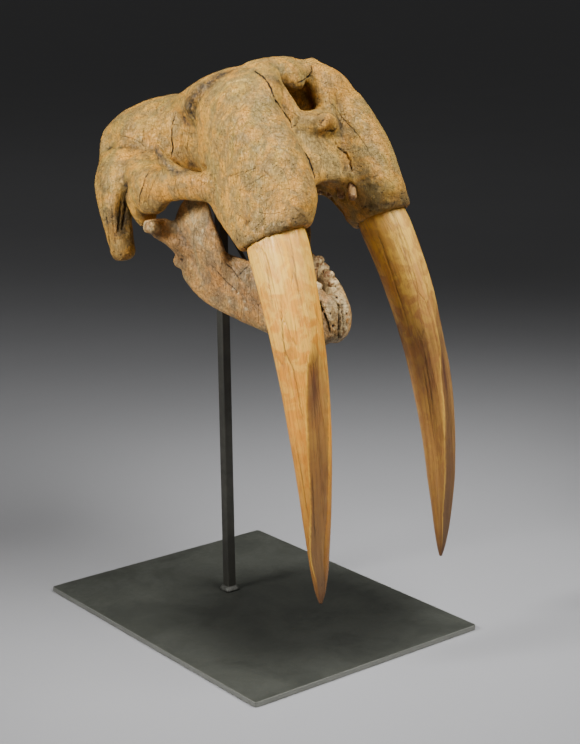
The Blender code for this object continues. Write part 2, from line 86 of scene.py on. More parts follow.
def sight_line(px, py):
    """The direction from the camera through one place in the picture."""
    return VIEW_MATRIX @ Vector((px - FRAME_WIDE / 2, FRAME_HIGH / 2 - py, -FOCAL_PIXELS)).normalized()


# %% [markdown]
# ## The skull's own frame
# The skull is turned four degrees on its post and leans a little, so left and right are not the
# world's X. Bone is shaped in the skull's own frame, where X = 0 is its midline and a form on one
# side can be mirrored by changing one sign.

# %% Skull frame
POST_PLACE = Vector((0.0051, 0.0690, 0))
SEAT_TOP = 0.5048
SEAT_HEIGHT = 0.4984
SEAT_TILT = Euler((0, math.radians(-1.5), math.radians(4.0)))
SEAT = (Matrix.Translation(POST_PLACE + Vector((0, 0, SEAT_TOP))) @ SEAT_TILT.to_matrix().to_4x4()
        @ Matrix.Translation((0, 0, -SEAT_HEIGHT)))
SEAT_TURN = np.array(SEAT.to_3x3())
SEAT_MOVE = np.array(SEAT.translation)


def to_skull(points):
    return (np.asarray(points, float) - SEAT_MOVE) @ SEAT_TURN


def to_world(points):
    return np.asarray(points, float) @ SEAT_TURN.T + SEAT_MOVE


print("midline at the post:", to_world([0, 0, 0.5]).round(4))

# %% [markdown]
# ## Clay: a mesh as arrays
# Sculpting by code needs the same few things again and again: the points, their normals, their
# neighbours, a way to smooth, a way to lift and a way to keep painted masks. A small class holds
# them as arrays, which is far faster than visiting vertices one by one.

# %% Clay
class Clay:
    """A mesh held as arrays in the skull's frame, to be lifted, smoothed and painted."""

    def __init__(self, mesh):
        self.mesh = mesh
        self.paint = {}
        self.read()

    def read(self):
        count = len(self.mesh.vertices)
        place = np.empty(count * 3)
        self.mesh.vertices.foreach_get("co", place)
        self.points = to_skull(place.reshape(-1, 3))
        ends = np.empty(len(self.mesh.edges) * 2, np.int64)
        self.mesh.edges.foreach_get("vertices", ends)
        self.ends = ends.reshape(-1, 2)
        self.degree = np.bincount(self.ends.ravel(), minlength=count).clip(1)
        self.find_normals()

    def write(self):
        self.mesh.vertices.foreach_set("co", to_world(self.points).ravel())
        self.mesh.update()

    def find_normals(self):
        self.write()
        normals = np.empty(len(self.points) * 3)
        self.mesh.vertices.foreach_get("normal", normals)
        self.normals = normals.reshape(-1, 3) @ SEAT_TURN

    def around(self, values):
        """The mean of each point's neighbours."""
        a, b = self.ends[:, 0], self.ends[:, 1]
        columns = values.reshape(len(values), -1)
        total = [np.bincount(a, c[b], len(c)) + np.bincount(b, c[a], len(c)) for c in columns.T]
        return (np.array(total) / self.degree).T.reshape(values.shape)

    def smooth(self, rounds):
        """Smooth and keep the volume, by a pull in and a push out."""
        for step in range(rounds):
            for pull in (0.6, -0.55):
                self.points += pull * (self.around(self.points) - self.points)
        self.find_normals()

    def melt(self, rounds, share=1.0):
        """Smooth without keeping the volume, for creases and rims."""
        share = np.reshape(share, (-1, 1))
        for step in range(rounds):
            self.points += 0.5 * share * (self.around(self.points) - self.points)
        self.find_normals()

    def lift(self, height):
        self.points += self.normals * np.asarray(height)[:, None]
        self.find_normals()

    def add_paint(self, name, amount):
        old = self.paint.get(name, np.zeros(len(self.points)))
        self.paint[name] = np.maximum(old, amount)

    def hollows(self, rounds):
        """Where the surface dips below its own smoothed copy, in metres."""
        soft = self.points.copy()
        for step in range(rounds):
            soft += 0.5 * (self.around(soft) - soft)
        return ((soft - self.points) * self.normals).sum(1)

    def keep_paint(self):
        for name, values in self.paint.items():
            layer = self.mesh.attributes.new(name, "FLOAT", "POINT")
            layer.data.foreach_set("value", values.astype(np.float32))


def soft_step(value, low, high):
    t = np.clip((value - low) / (high - low), 0, 1)
    return t * t * (3 - 2 * t)


def noise_at(points, size, seed=0.0, detail=3):
    """Smooth random values, about -1 to 1, with features of the given size."""
    shift = Vector((seed * 7.3, seed * 3.1, seed * 5.7))
    return np.array([noise.fractal(Vector(p) / size + shift, 1.0, 2.0, detail) for p in points])


print("clay ready")

# %% [markdown]
# ## From faceted solid to fine skin
# Each bone starts as a copy of its solid. A voxel remesh lays an even skin of small quads over
# it, and a smoothing that keeps the volume takes the facets away. The piece then replaces the
# solid in the picture, while the solid goes on serving collision, hidden.

# %% Fine skin
def fine_skin(node, voxel, lumps=()):
    """A voxel remesh of a solid and the lumps grown on it, as a new mesh."""
    shape = bmesh.new()
    shape.from_mesh(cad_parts[node].data)
    for place, radius in lumps:
        bmesh.ops.create_icosphere(shape, subdivisions=3, radius=radius, matrix=Matrix.Translation(place))
    body = bpy.data.meshes.new("body")
    shape.to_mesh(body)
    shape.free()
    source = bpy.data.objects.new("source", body)
    bpy.context.scene.collection.objects.link(source)
    remesh = source.modifiers.new("fine skin", "REMESH")
    remesh.mode = "VOXEL"
    remesh.voxel_size = voxel
    graph = bpy.context.evaluated_depsgraph_get()
    mesh = bpy.data.meshes.new_from_object(source.evaluated_get(graph), depsgraph=graph)
    bpy.data.objects.remove(source)
    mesh.materials.clear()
    return mesh


def refine(mesh, near, rounds):
    """Cut the faces near the given points smaller, for cracks finer than the skin."""
    shape = bmesh.new()
    shape.from_mesh(mesh)
    for step in range(rounds):
        close = near(to_skull([v.co for v in shape.verts]))
        cut = [e for e in shape.edges if close[e.verts[0].index] and close[e.verts[1].index]]
        bmesh.ops.subdivide_edges(shape, edges=cut, cuts=1, use_grid_fill=True)
        shape.verts.index_update()
    bmesh.ops.triangulate(shape, faces=[f for f in shape.faces if len(f.verts) > 4])
    shape.to_mesh(mesh)
    shape.free()


print("skin tools ready")

# %% [markdown]
# ## Strokes
# A seam, a crack or a stain is a line drawn on the bone. It is given by a few places in the
# picture, and the camera's lines of sight drop it on the solid's surface. A stroke knows its
# points and their normals, so that it marks only the side it lies on. It wobbles a little, as
# real seams do, by a noise with a fixed seed, so every run draws it alike.

# %% Strokes
STROKE_STEP = 1.2
STROKE_SOFTENING = 4
WOBBLE, WOBBLE_SIZE = 0.0008, 0.0035
WOBBLE_SEED = 1
MIRROR_STEP = 0.003
noise.seed_set(WOBBLE_SEED)
graph = bpy.context.evaluated_depsgraph_get()
SURFACES = {name: BVHTree.FromObject(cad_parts[name], graph)
            for name in ("cranium", "mandible", "tusk_right", "tusk_left")}


def along(corners, step):
    """Points at even steps on a smooth line through the corners."""
    c = np.array(corners, float)
    c = np.vstack([2 * c[0] - c[1], c, 2 * c[-1] - c[-2]])
    line = []
    for i in range(1, len(c) - 2):
        count = max(1, int(round(np.linalg.norm(c[i + 1] - c[i]) / step)))
        for t in np.arange(count) / count:
            line.append(0.5 * (2 * c[i] + (c[i + 1] - c[i - 1]) * t
                               + (2 * c[i - 1] - 5 * c[i] + 4 * c[i + 1] - c[i + 2]) * t * t
                               + (3 * c[i] - c[i - 1] - 3 * c[i + 1] + c[i + 2]) * t ** 3))
    line.append(c[-2])
    return np.array(line)


def seen_on(node, *corners):
    """A line drawn in the picture, dropped on a solid: points and normals in the skull's frame."""
    hits = [SURFACES[node].ray_cast(VIEW_PLACE, sight_line(px, py))[:2]
            for px, py in along(corners, STROKE_STEP)]
    hits = [(point, normal) for point, normal in hits if point is not None]
    if not hits:
        return np.zeros((0, 3)), np.zeros((0, 3))
    points, normals = zip(*hits)
    path = to_skull(points)
    for soft in range(STROKE_SOFTENING):
        path[1:-1] += 0.5 * ((path[:-2] + path[2:]) / 2 - path[1:-1])
    if len(path) > 3:
        path += WOBBLE * np.array([noise.noise_vector(Vector(p) / WOBBLE_SIZE) for p in path])
    return path, np.array(normals) @ SEAT_TURN


def strokes(node, lines):
    return [seen_on(node, *corners) for corners in lines]


def mirrored(node, line):
    """The same line on the other side of the midline, pulled onto the solid."""
    if len(line[0]) < 3:
        return line
    places = to_world(along(line[0][::2] * (-1, 1, 1), MIRROR_STEP))
    points, normals = zip(*[SURFACES[node].find_nearest(Vector(place))[:2] for place in places])
    return to_skull(points), np.array(normals) @ SEAT_TURN


def with_twins(node, lines):
    """Each line, followed by its mirror image."""
    return [each for line in lines for each in (line, mirrored(node, line))]


print("stroke tools ready")


# %% Press and paint along strokes
def within(points, low, high):
    """The index of each point inside a box."""
    return np.nonzero(np.all((points > low) & (points < high), axis=1))[0]


def reach(clay, line, radius):
    """For the clay points near a line: index, distance over the surface, share of its length."""
    path, facing = line
    if len(path) == 0:
        return np.zeros(0, int), np.zeros(0), np.zeros(0)
    index = within(clay.points, path.min(0) - radius, path.max(0) + radius)
    best = np.full(len(index), np.inf)
    share = np.zeros(len(index))
    segments = max(1, len(path) - 1)
    for i in range(segments):
        a, b = path[i], path[min(i + 1, len(path) - 1)]
        run = b - a
        t = np.clip(((clay.points[index] - a) @ run) / max(run @ run, 1e-12), 0, 1)
        gap = clay.points[index] - (a + t[:, None] * run)
        out = gap @ facing[i]
        flat = np.sqrt(np.maximum((gap * gap).sum(1) - out * out, 0))
        off = (np.abs(out) > max(0.006, radius * 0.6)) | (clay.normals[index] @ facing[i] < 0.15)
        flat = np.where(off, np.inf, flat)
        closer = flat < best
        best = np.where(closer, flat, best)
        share = np.where(closer, (i + t) / segments, share)
    keep = best < radius
    return index[keep], best[keep], share[keep]


def groove(clay, line, width, depth, paint, amount=1.0, ends=0.15, lip=0.0):
    """Press a line into the clay, shallow at its ends, and paint its bottom."""
    index, distance, share = reach(clay, line, width * 2)
    if not len(index):
        return
    fade = soft_step(np.minimum(share, 1 - share), -0.02, ends)
    fade = fade * np.clip(0.85 + 0.75 * noise_at(clay.points[index], 0.004, 8, 2), 0.25, 1.2)
    dip = np.exp(-(distance / (width * 0.55)) ** 2) * fade
    rise = np.exp(-((distance - width) / (width * 0.45)) ** 2) * fade * lip
    height = np.zeros(len(clay.points))
    height[index] = -depth * (dip - rise)
    clay.points += clay.normals * height[:, None]
    amounts = np.zeros(len(clay.points))
    amounts[index] = amount * np.exp(-(distance / (width * 0.8)) ** 2) * fade
    clay.add_paint(paint, amounts)


def brush(clay, line, width, paint, amount=1.0, ends=0.0):
    """Paint a soft band along a line."""
    index, distance, share = reach(clay, line, width * 1.6)
    amounts = np.zeros(len(clay.points))
    fade = soft_step(np.minimum(share, 1 - share), -0.02, ends) if ends else 1.0
    amounts[index] = amount * np.exp(-(distance / (width * 0.75)) ** 2) * fade
    clay.add_paint(paint, amounts)


def near_lines(lines, radius):
    """A test for refine(): which points lie within a radius of any of the lines."""
    def test(place):
        close = np.zeros(len(place), bool)
        for path, facing in lines:
            if len(path):
                inside = within(place, path.min(0) - radius, path.max(0) + radius)
                gaps = place[inside][:, None, :] - path[None, :, :]
                close[inside] |= (gaps ** 2).sum(2).min(1) < radius * radius
        return close
    return test


print("press and paint ready")

# %% [markdown]
# ## The cranium
# The upper skull is one grown bone: braincase, cheek arches, nasal roof and the two swollen
# tusk sockets. Its seams run down the face as dark jagged lines. Time has cracked it, worn its
# ends rough and pitted the rims of the sockets. It could be sculpted by hand, but strokes laid
# through the camera keep each seam and crack where the real one is.

# %% Seams and cracks of the cranium
near_seam = seen_on(
    "cranium", (253, 70), (260, 75), (266, 80), (270.5, 87), (274, 97), (279.5, 106), (286, 116),
    (290.5, 123), (292, 130), (298, 140), (303, 150), (308, 158), (312, 168), (314.5, 178), (315.5, 188))
far_seam = seen_on("cranium", (311, 63), (312, 69), (309, 76), (302, 81), (297, 84))
face_seam = seen_on("cranium", (335, 139), (338, 147), (345, 153), (349, 160), (350.5, 167), (352, 173))
far_crack = seen_on("cranium", (323, 73), (326, 83), (329, 92), (330, 102), (336, 108), (342, 117),
                    (350, 126), (358, 135), (366, 146), (370, 154), (375, 162))
knob_coil = seen_on("cranium", (314, 117), (321, 113), (329, 112), (336, 117), (337, 126), (331, 131),
                    (323, 129), (320, 123), (326, 119), (332, 121))
side_cracks = with_twins("cranium", strokes("cranium", (
    ((176, 112), (172.4, 124), (171.6, 136), (173, 148), (171, 158), (170, 161)),
    ((151, 169), (145, 178), (143, 186), (140, 194), (139.6, 206)))))
cheek_cracks = strokes("cranium", (
    ((226, 177), (236, 174), (246, 170.4)), ((233, 178.5), (242, 174), (250, 170), (257, 168)),
    ((237, 192), (250, 184), (260, 178), (266, 174.4)), ((254, 210), (264, 213.6), (276, 213.6), (288, 209.5)),
    ((293, 206), (299, 212), (305.5, 218)), ((240, 213), (238.4, 222)), ((251, 231), (260, 223), (267, 216)),
    ((262, 167), (267, 173), (272, 179)), ((145, 124), (143, 135), (142, 145)),
    ((160, 171), (153, 184), (149, 196), (148, 207)), ((166, 180), (172, 190), (179, 196)),
    ((120, 136), (134, 139), (146, 147)), ((205, 84), (222, 76), (240, 72)),
    ((214, 140), (219, 156), (224, 170))))
brow_creases = with_twins("cranium", strokes("cranium", (
    ((197, 122), (193, 114), (191, 105), (197, 97)), ((190, 124), (186, 114), (185, 106)))))
mastoid_grooves = with_twins("cranium", strokes("cranium", (
    ((111, 200), (113.5, 226), (115, 246)), ((121, 198), (119, 220), (117, 240)),
    ((105, 208), (108, 232), (110, 250)), ((126, 200), (124, 216), (121, 232)))))
fine_lines = [near_seam, far_seam, face_seam, far_crack] + side_cracks + cheek_cracks
print("lines on the cranium:", len(fine_lines), "points:", sum(len(line[0]) for line in fine_lines))


# %% Knobs of bone
def dot_on(node, px, py):
    """One place in the picture, as a line too short to see."""
    return seen_on(node, (px, py), (px + 0.5, py))


def lumps_at(node, places):
    """Balls sunk in the bone where the picture shows knobs, and their mirror images."""
    lumps = []
    for px, py, radius, proud, twin in places:
        path, facing = dot_on(node, px, py)
        for side in (1, -1) if twin else (1,):
            centre = (path[0] + facing[0] * (proud - radius)) * (side, 1, 1)
            lumps.append((to_world(centre), radius))
    return lumps


skull_lumps = lumps_at("cranium", (
    (329, 120, 0.0095, 0.0058, False), (322, 127, 0.0070, 0.0042, False), (334, 126, 0.0065, 0.0042, False),
    (316, 119, 0.0060, 0.0032, False), (192, 118, 0.0065, 0.0038, True), (189, 109, 0.0070, 0.0040, True),
    (194, 99, 0.0065, 0.0036, True), (160, 163, 0.0050, 0.0022, True)))
print("knobs:", len(skull_lumps))

# %% Shape the cranium
CRANIUM_VOXEL = 0.0022
CRANIUM_FINE_REACH = 0.0032
skull_mesh = fine_skin("cranium", CRANIUM_VOXEL, skull_lumps)
skull = Clay(skull_mesh)
skull.smooth(9)
refine(skull_mesh, near_lines(fine_lines, CRANIUM_FINE_REACH), 2)
skull.read()
skull.melt(2)
print("cranium points:", len(skull.points))


# %% Soften creases
def spot(clay, node, places, radius):
    """A soft mask round places in the picture."""
    mask = np.zeros(len(clay.points))
    for px, py in places:
        index, distance, share = reach(clay, dot_on(node, px, py), radius)
        mask[index] = np.maximum(mask[index], soft_step(-distance, -radius, -radius * 0.4))
    return mask


SOFT_SPOTS = (  # where, melting rounds, radius, places in the picture
    ("temple", 24, 0.020, ((205, 112), (214, 118), (224, 124), (234, 128), (198, 128))),
    ("nasal rim", 18, 0.012, ((296, 97), (303, 92), (310, 100), (314, 110), (306, 84))),
    ("skyline", 90, 0.017, ((303, 60), (308, 60), (312, 62), (316, 65))))
for where, rounds, radius, places in SOFT_SPOTS:
    skull.melt(rounds, spot(skull, "cranium", places, radius))
    print("softened:", where)

# %% Cut the seams
CUTS = (  # lines, width, depth, paint, amount of paint, shallow ends, lip
    ([near_seam], 0.0013, 0.0018, "crack", 1.8, 0.03, 0.15),
    ([far_seam], 0.0012, 0.0014, "crack"),
    ([face_seam], 0.0020, 0.0018, "crack", 0.7, 0.15, 0.15),
    ([knob_coil], 0.0017, 0.0016, "crack", 0.5, 0.15, 0.3),
    ([far_crack], 0.0007, 0.0007, "crack", 0.65),
    (side_cracks, 0.0012, 0.0014, "crack"),
    (cheek_cracks, 0.0008, 0.0005, "crack", 0.55),
    (brow_creases, 0.0016, 0.0012, "crack", 0.45, 0.15, 0.2),
    # the mastoid grooves are painted dark along their bottoms as painted shade
    (mastoid_grooves, 0.0026, 0.0018, "dark", 0.6, 0.15, 0.2))
for lines, *cut in CUTS:
    for line in lines:
        groove(skull, line, *cut)
skull.find_normals()
print("deepest crack paint:", round(float(skull.paint["crack"].max()), 2))

# %% Paint the cranium's zones
ZONES = (  # paint, width, amount, soft ends, on both sides or not, places in the picture
    # the rims of the sockets
    ("rough", 0.015, 1.0, 0.0, True, ((238, 238), (245, 246), (256, 240), (270, 232), (286, 226), (303, 220))),
    ("rough", 0.016, 0.7, 0.0, False, ((356, 166), (366, 178), (374, 190), (382, 202))),
    ("rough", 0.012, 1.0, 0.0, False, ((366, 208), (380, 206), (392, 202), (404, 197))),
    # the dark brow and orbit
    ("dark", 0.012, 1.0, 0.12, True,
     ((198, 124), (191, 114), (189, 104), (195, 95), (206, 85), (219, 76), (236, 68))),
    ("dark", 0.006, 1.0, 0.1, True, ((192, 128), (185, 120), (183, 111), (188, 100), (196, 91))),
    ("dark", 0.006, 1.0, 0.0, True, ((155, 147), (162, 160), (172, 170), (184, 172), (192, 163))),
    ("dark", 0.004, 0.45, 0.2, True, ((125, 146), (138, 149), (148, 158), (154, 166))),
    # the broken bone of the knob, the neck joint, the nose and the mastoid's end
    ("rough", 0.015, 0.35, 0.0, False, ((322, 122), (334, 126))),
    ("rough", 0.009, 0.7, 0.0, False, ((100, 160), (99, 176), (104, 190))),
    ("rough", 0.009, 0.8, 0.0, False, ((274, 80), (284, 85), (296, 84))),
    ("rough", 0.012, 0.9, 0.0, False, ((106, 246), (112, 256), (122, 258))),
    # painted shade on the mastoid and in the gaps beside it
    ("dark", 0.022, 0.7, 0.2, True, ((112, 206), (118, 222), (116, 240))),
    ("dark", 0.008, 1.0, 0.1, True, ((128, 178), (126, 198), (125, 216), (122, 238))),
    ("dark", 0.010, 0.5, 0.2, True, ((134, 204), (142, 214), (156, 212), (168, 204))),
    # the warm arch, the warm face, painted light that makes the face paler, and painted shade under the arch
    ("warm", 0.020, 0.8, 0.1, True, ((148, 190), (160, 196), (175, 190), (196, 186), (206, 200))),
    ("warm", 0.022, 0.4, 0.0, False, ((318, 150), (330, 165), (338, 178), (326, 186))),
    ("light", 0.020, 1.0, 0.0, False, ((300, 132), (314, 146), (326, 160), (338, 172))),
    ("dark", 0.012, 0.4, 0.2, True, ((140, 196), (152, 200), (166, 203))),
    # painted highlights in streaks over the eye
    ("pale", 0.0022, 0.7, 0.3, True, ((208, 92), (224, 84), (242, 80), (258, 80))),
    ("pale", 0.0022, 0.7, 0.3, True, ((213, 100), (228, 92), (246, 88))))
for paint, width, amount, ends, twin, corners in ZONES:
    lines = [seen_on("cranium", *corners)]
    for line in with_twins("cranium", lines) if twin else lines:
        brush(skull, line, width, paint, amount, ends)
print("painted:", sorted(skull.paint))

# %% Weather the cranium
SOCKET_REACH = 0.004
HOLLOW_ROUNDS = 12
CRANIUM_HOLLOW = 0.0011
skull.lift(0.00050 * noise_at(skull.points, 0.030, 1) + 0.00030 * noise_at(skull.points, 0.0075, 2)
           + 0.0012 * skull.paint["rough"] * noise_at(skull.points, 0.0060, 6))


def near_tusks(clay, reach_out):
    """Where the bone lies against a tusk, from 0 to 1."""
    amount = np.zeros(len(clay.points))
    place = to_world(clay.points)
    for name in ("tusk_right", "tusk_left"):
        low, high = np.array(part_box(name)) + ((-reach_out,) * 3, (reach_out,) * 3)
        for i in within(place, low, high):
            hit, normal, face, gap = SURFACES[name].find_nearest(Vector(place[i]), reach_out)
            if hit is not None:
                amount[i] = max(amount[i], 1 - gap / reach_out)
    return amount


skull.add_paint("socket", soft_step(near_tusks(skull, SOCKET_REACH), 0.1, 0.7))
# how far each point lies in a hollow or on a ridge: the bone material paints shade in the hollows and
# highlights on the ridges from it
skull.add_paint("hollow", np.clip(skull.hollows(HOLLOW_ROUNDS) / CRANIUM_HOLLOW, -1, 1))
print("socket points:", int((skull.paint["socket"] > 0.5).sum()))

# %% [markdown]
# ## The lower jaw
# The jaw is one bone too. It is thinner and browner than the skull, with a whitish scuffed band,
# a long crack, and a chin eroded down to a cream, spongy core. The same clay and strokes serve
# it, on a finer skin, because its forms are smaller.

# %% Lines on the jaw
jaw_cracks = strokes("mandible", (
    ((237, 277), (242, 272), (249, 265)), ((338.6, 308), (338.6, 331), (336, 345)), ((256, 304), (259, 305)),
    ((246, 286), (249, 287)), ((225, 262), (233, 270), (240, 281)), ((214, 268), (226, 281), (238, 292))))
jaw_flakes = strokes("mandible", (
    ((195, 230), (199, 240), (203, 250)), ((201, 226), (205, 236)), ((237, 290), (239, 294)),
    ((243, 299), (246, 303)), ((246, 307), (247, 311)), ((233, 287), (235, 290)), ((228, 300), (232, 303))))
spongy_plates = strokes("mandible", (
    ((334, 292), (339, 298), (343.5, 304), (348, 312), (349.5, 321)),
    ((323, 302), (327, 311), (332, 322), (336, 331))))
chin_gullies = strokes("mandible", (
    ((331, 297), (337.5, 305), (339, 318), (338.4, 331), (339, 341)),
    ((319, 299), (322, 309), (327, 321), (331, 334)), ((341, 310), (343.5, 320), (343, 334))))
jaw_pits = strokes("mandible", (
    ((346, 323), (347, 326)), ((336, 296), (337, 298)), ((342, 304), (343, 306)),
    ((330, 313), (331, 315)), ((333, 325), (334, 327)), ((346, 313), (347, 315))))
JAW_ZONES = (  # paint, width, amount, soft ends, places in the picture
    ("spongy", 0.018, 0.6, 0.0, ((322, 300), (330, 316), (338, 332))),
    ("pale", 0.016, 0.8, 0.0, ((330, 290), (342, 306), (346, 324), (340, 340))),
    ("pale", 0.010, 0.6, 0.0, ((146, 222), (152, 228))),
    # a painted highlight on the jaw's ramus
    ("pale", 0.014, 0.5, 0.2, ((190, 208), (196, 224), (203, 242))),
    ("warm", 0.016, 0.8, 0.1, ((205, 262), (225, 285), (250, 300), (268, 312))),
    ("rough", 0.010, 0.7, 0.0, ((178, 246), (181, 262), (190, 274))))
print("lines on the jaw:", len(jaw_cracks) + len(jaw_flakes) + len(jaw_pits))

# %% Shape the jaw
JAW_VOXEL = 0.0018
JAW_FINE_REACH = 0.0034
JAW_HOLLOW = 0.0009
jaw_mesh = fine_skin("mandible", JAW_VOXEL)
jaw = Clay(jaw_mesh)
jaw.smooth(14)
refine(jaw_mesh, near_lines(jaw_cracks + jaw_pits + chin_gullies + spongy_plates, JAW_FINE_REACH), 1)
jaw.read()
for line in jaw_cracks:
    groove(jaw, line, 0.0012, 0.0009, "crack", 0.8)
for line in chin_gullies:
    groove(jaw, line, 0.0026, 0.0036, "crack", 0.55, lip=0.35)
for line in spongy_plates:
    brush(jaw, line, 0.0052, "pale", 1.0, ends=0.15)
    brush(jaw, line, 0.0056, "spongy", 1.0, ends=0.1)
for line in jaw_pits:
    groove(jaw, line, 0.0020, 0.0024, "crack", 0.8)
for line in jaw_flakes:
    brush(jaw, line, 0.0036, "pale", 0.75, ends=0.2)
for paint, width, amount, ends, corners in JAW_ZONES:
    brush(jaw, seen_on("mandible", *corners), width, paint, amount, ends)
jaw.find_normals()
jaw_small = noise_at(jaw.points, 0.006, 5)
jaw.lift(0.00030 * noise_at(jaw.points, 0.022, 4) + 0.00018 * jaw_small
         + 0.0011 * (jaw.paint["rough"] + jaw.paint["spongy"]) * jaw_small)
# as on the skull, this drives painted shade in the jaw's hollows and painted highlights on its ridges
jaw.add_paint("hollow", np.clip(jaw.hollows(HOLLOW_ROUNDS) / JAW_HOLLOW, -1, 1))
print("jaw points:", len(jaw.points))

# %% [markdown]
# ## The tusks
# A tusk's centre line is a cubic curve and its section an ellipse, the same two rules that made
# the solids. Rebuilding it from them at fine steps is cleaner than smoothing facets, and gives
# each point its place along and around the tusk, which the ivory's long grain needs. Wear has
# ground a flat face down the front of each tusk, with a pale edge where it starts.

# %% Tusk rules
TUSK_SPREAD = (0.0886, 0.0482, -0.0325, 0.0)
TUSK_FORWARD = (-0.2123, -0.1999, 0.1746, -0.0458)
TUSK_SOCKET_Z, TUSK_TIP_Z = 0.5076, 0.0932
TUSK_ROOT = -0.20
TUSK_TOE_IN = math.radians(20)
TUSK_WIDTHS = np.array(((-0.20, 0.0255, 0.0330), (0.0, 0.0288, 0.0375), (0.25, 0.0266, 0.0315),
                        (0.5, 0.0230, 0.0247), (0.75, 0.0173, 0.0162), (0.9, 0.0098, 0.0108),
                        (0.97, 0.0048, 0.0062), (1.0, 0.0016, 0.0022)))
TUSK_SQUARE = 2.15
TUSK_RINGS, TUSK_AROUND = 280, 170
TUSK_LENGTH = 0.46
TUSK_GIRTH = 0.02


def tusk_rings(side):
    """The centre, direction, two half axes and half widths of each ring, root to tip."""
    t = np.linspace(TUSK_ROOT, 1, TUSK_RINGS)
    powers = np.array([np.ones_like(t), t, t ** 2, t ** 3])
    centre = np.stack([side * np.array(TUSK_SPREAD) @ powers, np.array(TUSK_FORWARD) @ powers,
                       TUSK_SOCKET_Z + (TUSK_TIP_Z - TUSK_SOCKET_Z) * t], 1)
    run = np.gradient(centre, axis=0)
    run /= np.linalg.norm(run, axis=1)[:, None]
    across = np.cross(run, (0, -1.0, 0))
    across /= np.linalg.norm(across, axis=1)[:, None]
    rise = np.cross(across, run)
    c, s = math.cos(TUSK_TOE_IN), side * math.sin(TUSK_TOE_IN)
    wide, high = (np.interp(t, TUSK_WIDTHS[:, 0], TUSK_WIDTHS[:, k]) for k in (1, 2))
    for soft in range(8):
        wide[1:-1] += 0.5 * ((wide[:-2] + wide[2:]) / 2 - wide[1:-1])
        high[1:-1] += 0.5 * ((high[:-2] + high[2:]) / 2 - high[1:-1])
    return t, centre, run, across * c - rise * s, rise * c + across * s, wide, high


print("tusk rules ready")


# %% Places on a tusk
def ring_places(rings, line):
    """For points on a tusk: their place along it and their angle round it."""
    t, centre, run, across, rise, wide, high = rings
    places = []
    for point in line[0]:
        gap = point - centre
        i = int(np.argmin(np.abs((gap * run).sum(1)) + 4 * np.abs(t - np.interp(
            point[2], centre[::-1, 2], t[::-1]))))
        places.append((t[i], math.atan2(gap[i] @ rise[i] / high[i], gap[i] @ across[i] / wide[i])))
    return np.array(sorted(places))


def turn_between(first, second):
    """The angle from the second to the first, within half a turn either way."""
    return (first - second + math.pi) % math.tau - math.pi


def tusk_noise(t, angle, side, around, down, shift):
    """Smooth random values round a tusk and down it."""
    return np.array([[noise.noise(Vector((math.cos(a) * around, math.sin(a) * around, v * down + side * shift)))
                      for a in angle] for v in t])


print("tusk places ready")

# %% Stains and splits
SPLIT_WIDTH, SPLIT_DEPTH = 0.0005, 0.0006


def stain_and_shade_mask(t, past, stains_and_shade):
    """Soft stains and painted shade, each at its place along the tusk and its turn past the worn edge."""
    stain_and_shade = np.zeros_like(past)
    for at, spread, turn, reach_round, amount in stains_and_shade:
        fall = -((t[:, None] - at) / spread) ** 2 - ((past - turn) / reach_round) ** 2
        stain_and_shade = np.maximum(stain_and_shade, amount * np.exp(fall))
    return stain_and_shade


def split_mask(rings, angle, side, splits):
    """How deep each point lies in a drying split, from 0 to 1."""
    t, wide = rings[0], rings[5]
    gap = np.zeros((len(t), len(angle)))
    for line in splits:
        road = ring_places(rings, line)
        wander = np.array([noise.noise(Vector((v * 40, side, len(road)))) for v in t])
        middle = (np.interp(t, road[:, 0], road[:, 1]) + 0.02 * wander)[:, None]
        off = np.abs(turn_between(middle, angle[None, :]))
        first, last = road[0, 0], road[-1, 0]
        ends = soft_step(t, first - 0.01, first + 0.05) * soft_step(-t, -last - 0.01, -last + 0.05)
        gap = np.maximum(gap, np.exp(-(off * wide[:, None] / SPLIT_WIDTH) ** 2) * ends[:, None])
    return gap


print("stains and splits ready")


# %% Close the rings
def face_out(mesh):
    """Turn every face outward."""
    shape = bmesh.new()
    shape.from_mesh(mesh)
    bmesh.ops.recalc_face_normals(shape, faces=shape.faces)
    shape.to_mesh(mesh)
    shape.free()
    return mesh


def close_rings(points, around, marks=None, grain=None):
    """A closed mesh from rings of points, with its masks and its grain coordinates."""
    points = np.reshape(points, (-1, 3))
    total = len(points)
    points = np.vstack([points, points[:around].mean(0), points[-around:].mean(0)])
    faces = []
    for i in range(total // around - 1):
        for k in range(around):
            a, b = i * around + k, i * around + (k + 1) % around
            faces.append((a, b, b + around, a + around))
    for k in range(around):
        after = (k + 1) % around
        faces.append((total, after, k))
        faces.append((total + 1, total - around + k, total - around + after))
    mesh = bpy.data.meshes.new("rings")
    mesh.from_pydata(to_world(points).tolist(), [], faces)
    face_out(mesh)
    for name, values in (marks or {}).items():
        layer = mesh.attributes.new(name, "FLOAT", "POINT")
        values = np.append(values.ravel(), (values.ravel()[0], values.ravel()[-1]))
        layer.data.foreach_set("value", values.astype(np.float32))
    if grain is not None:
        grain = grain.reshape(-1, 3)
        ends = np.array([(0, 0, grain[0, 2]), (0, 0, grain[-1, 2])])
        layer = mesh.attributes.new("grain", "FLOAT_VECTOR", "POINT")
        layer.data.foreach_set("vector", np.vstack([grain, ends]).astype(np.float32).ravel())
    return mesh


print("rings ready")

# %% Shape the tusks
FLUTE_DEPTH, RIPPLE_DEPTH = 0.013, 0.006
RIDGE_WIDTH = 0.045


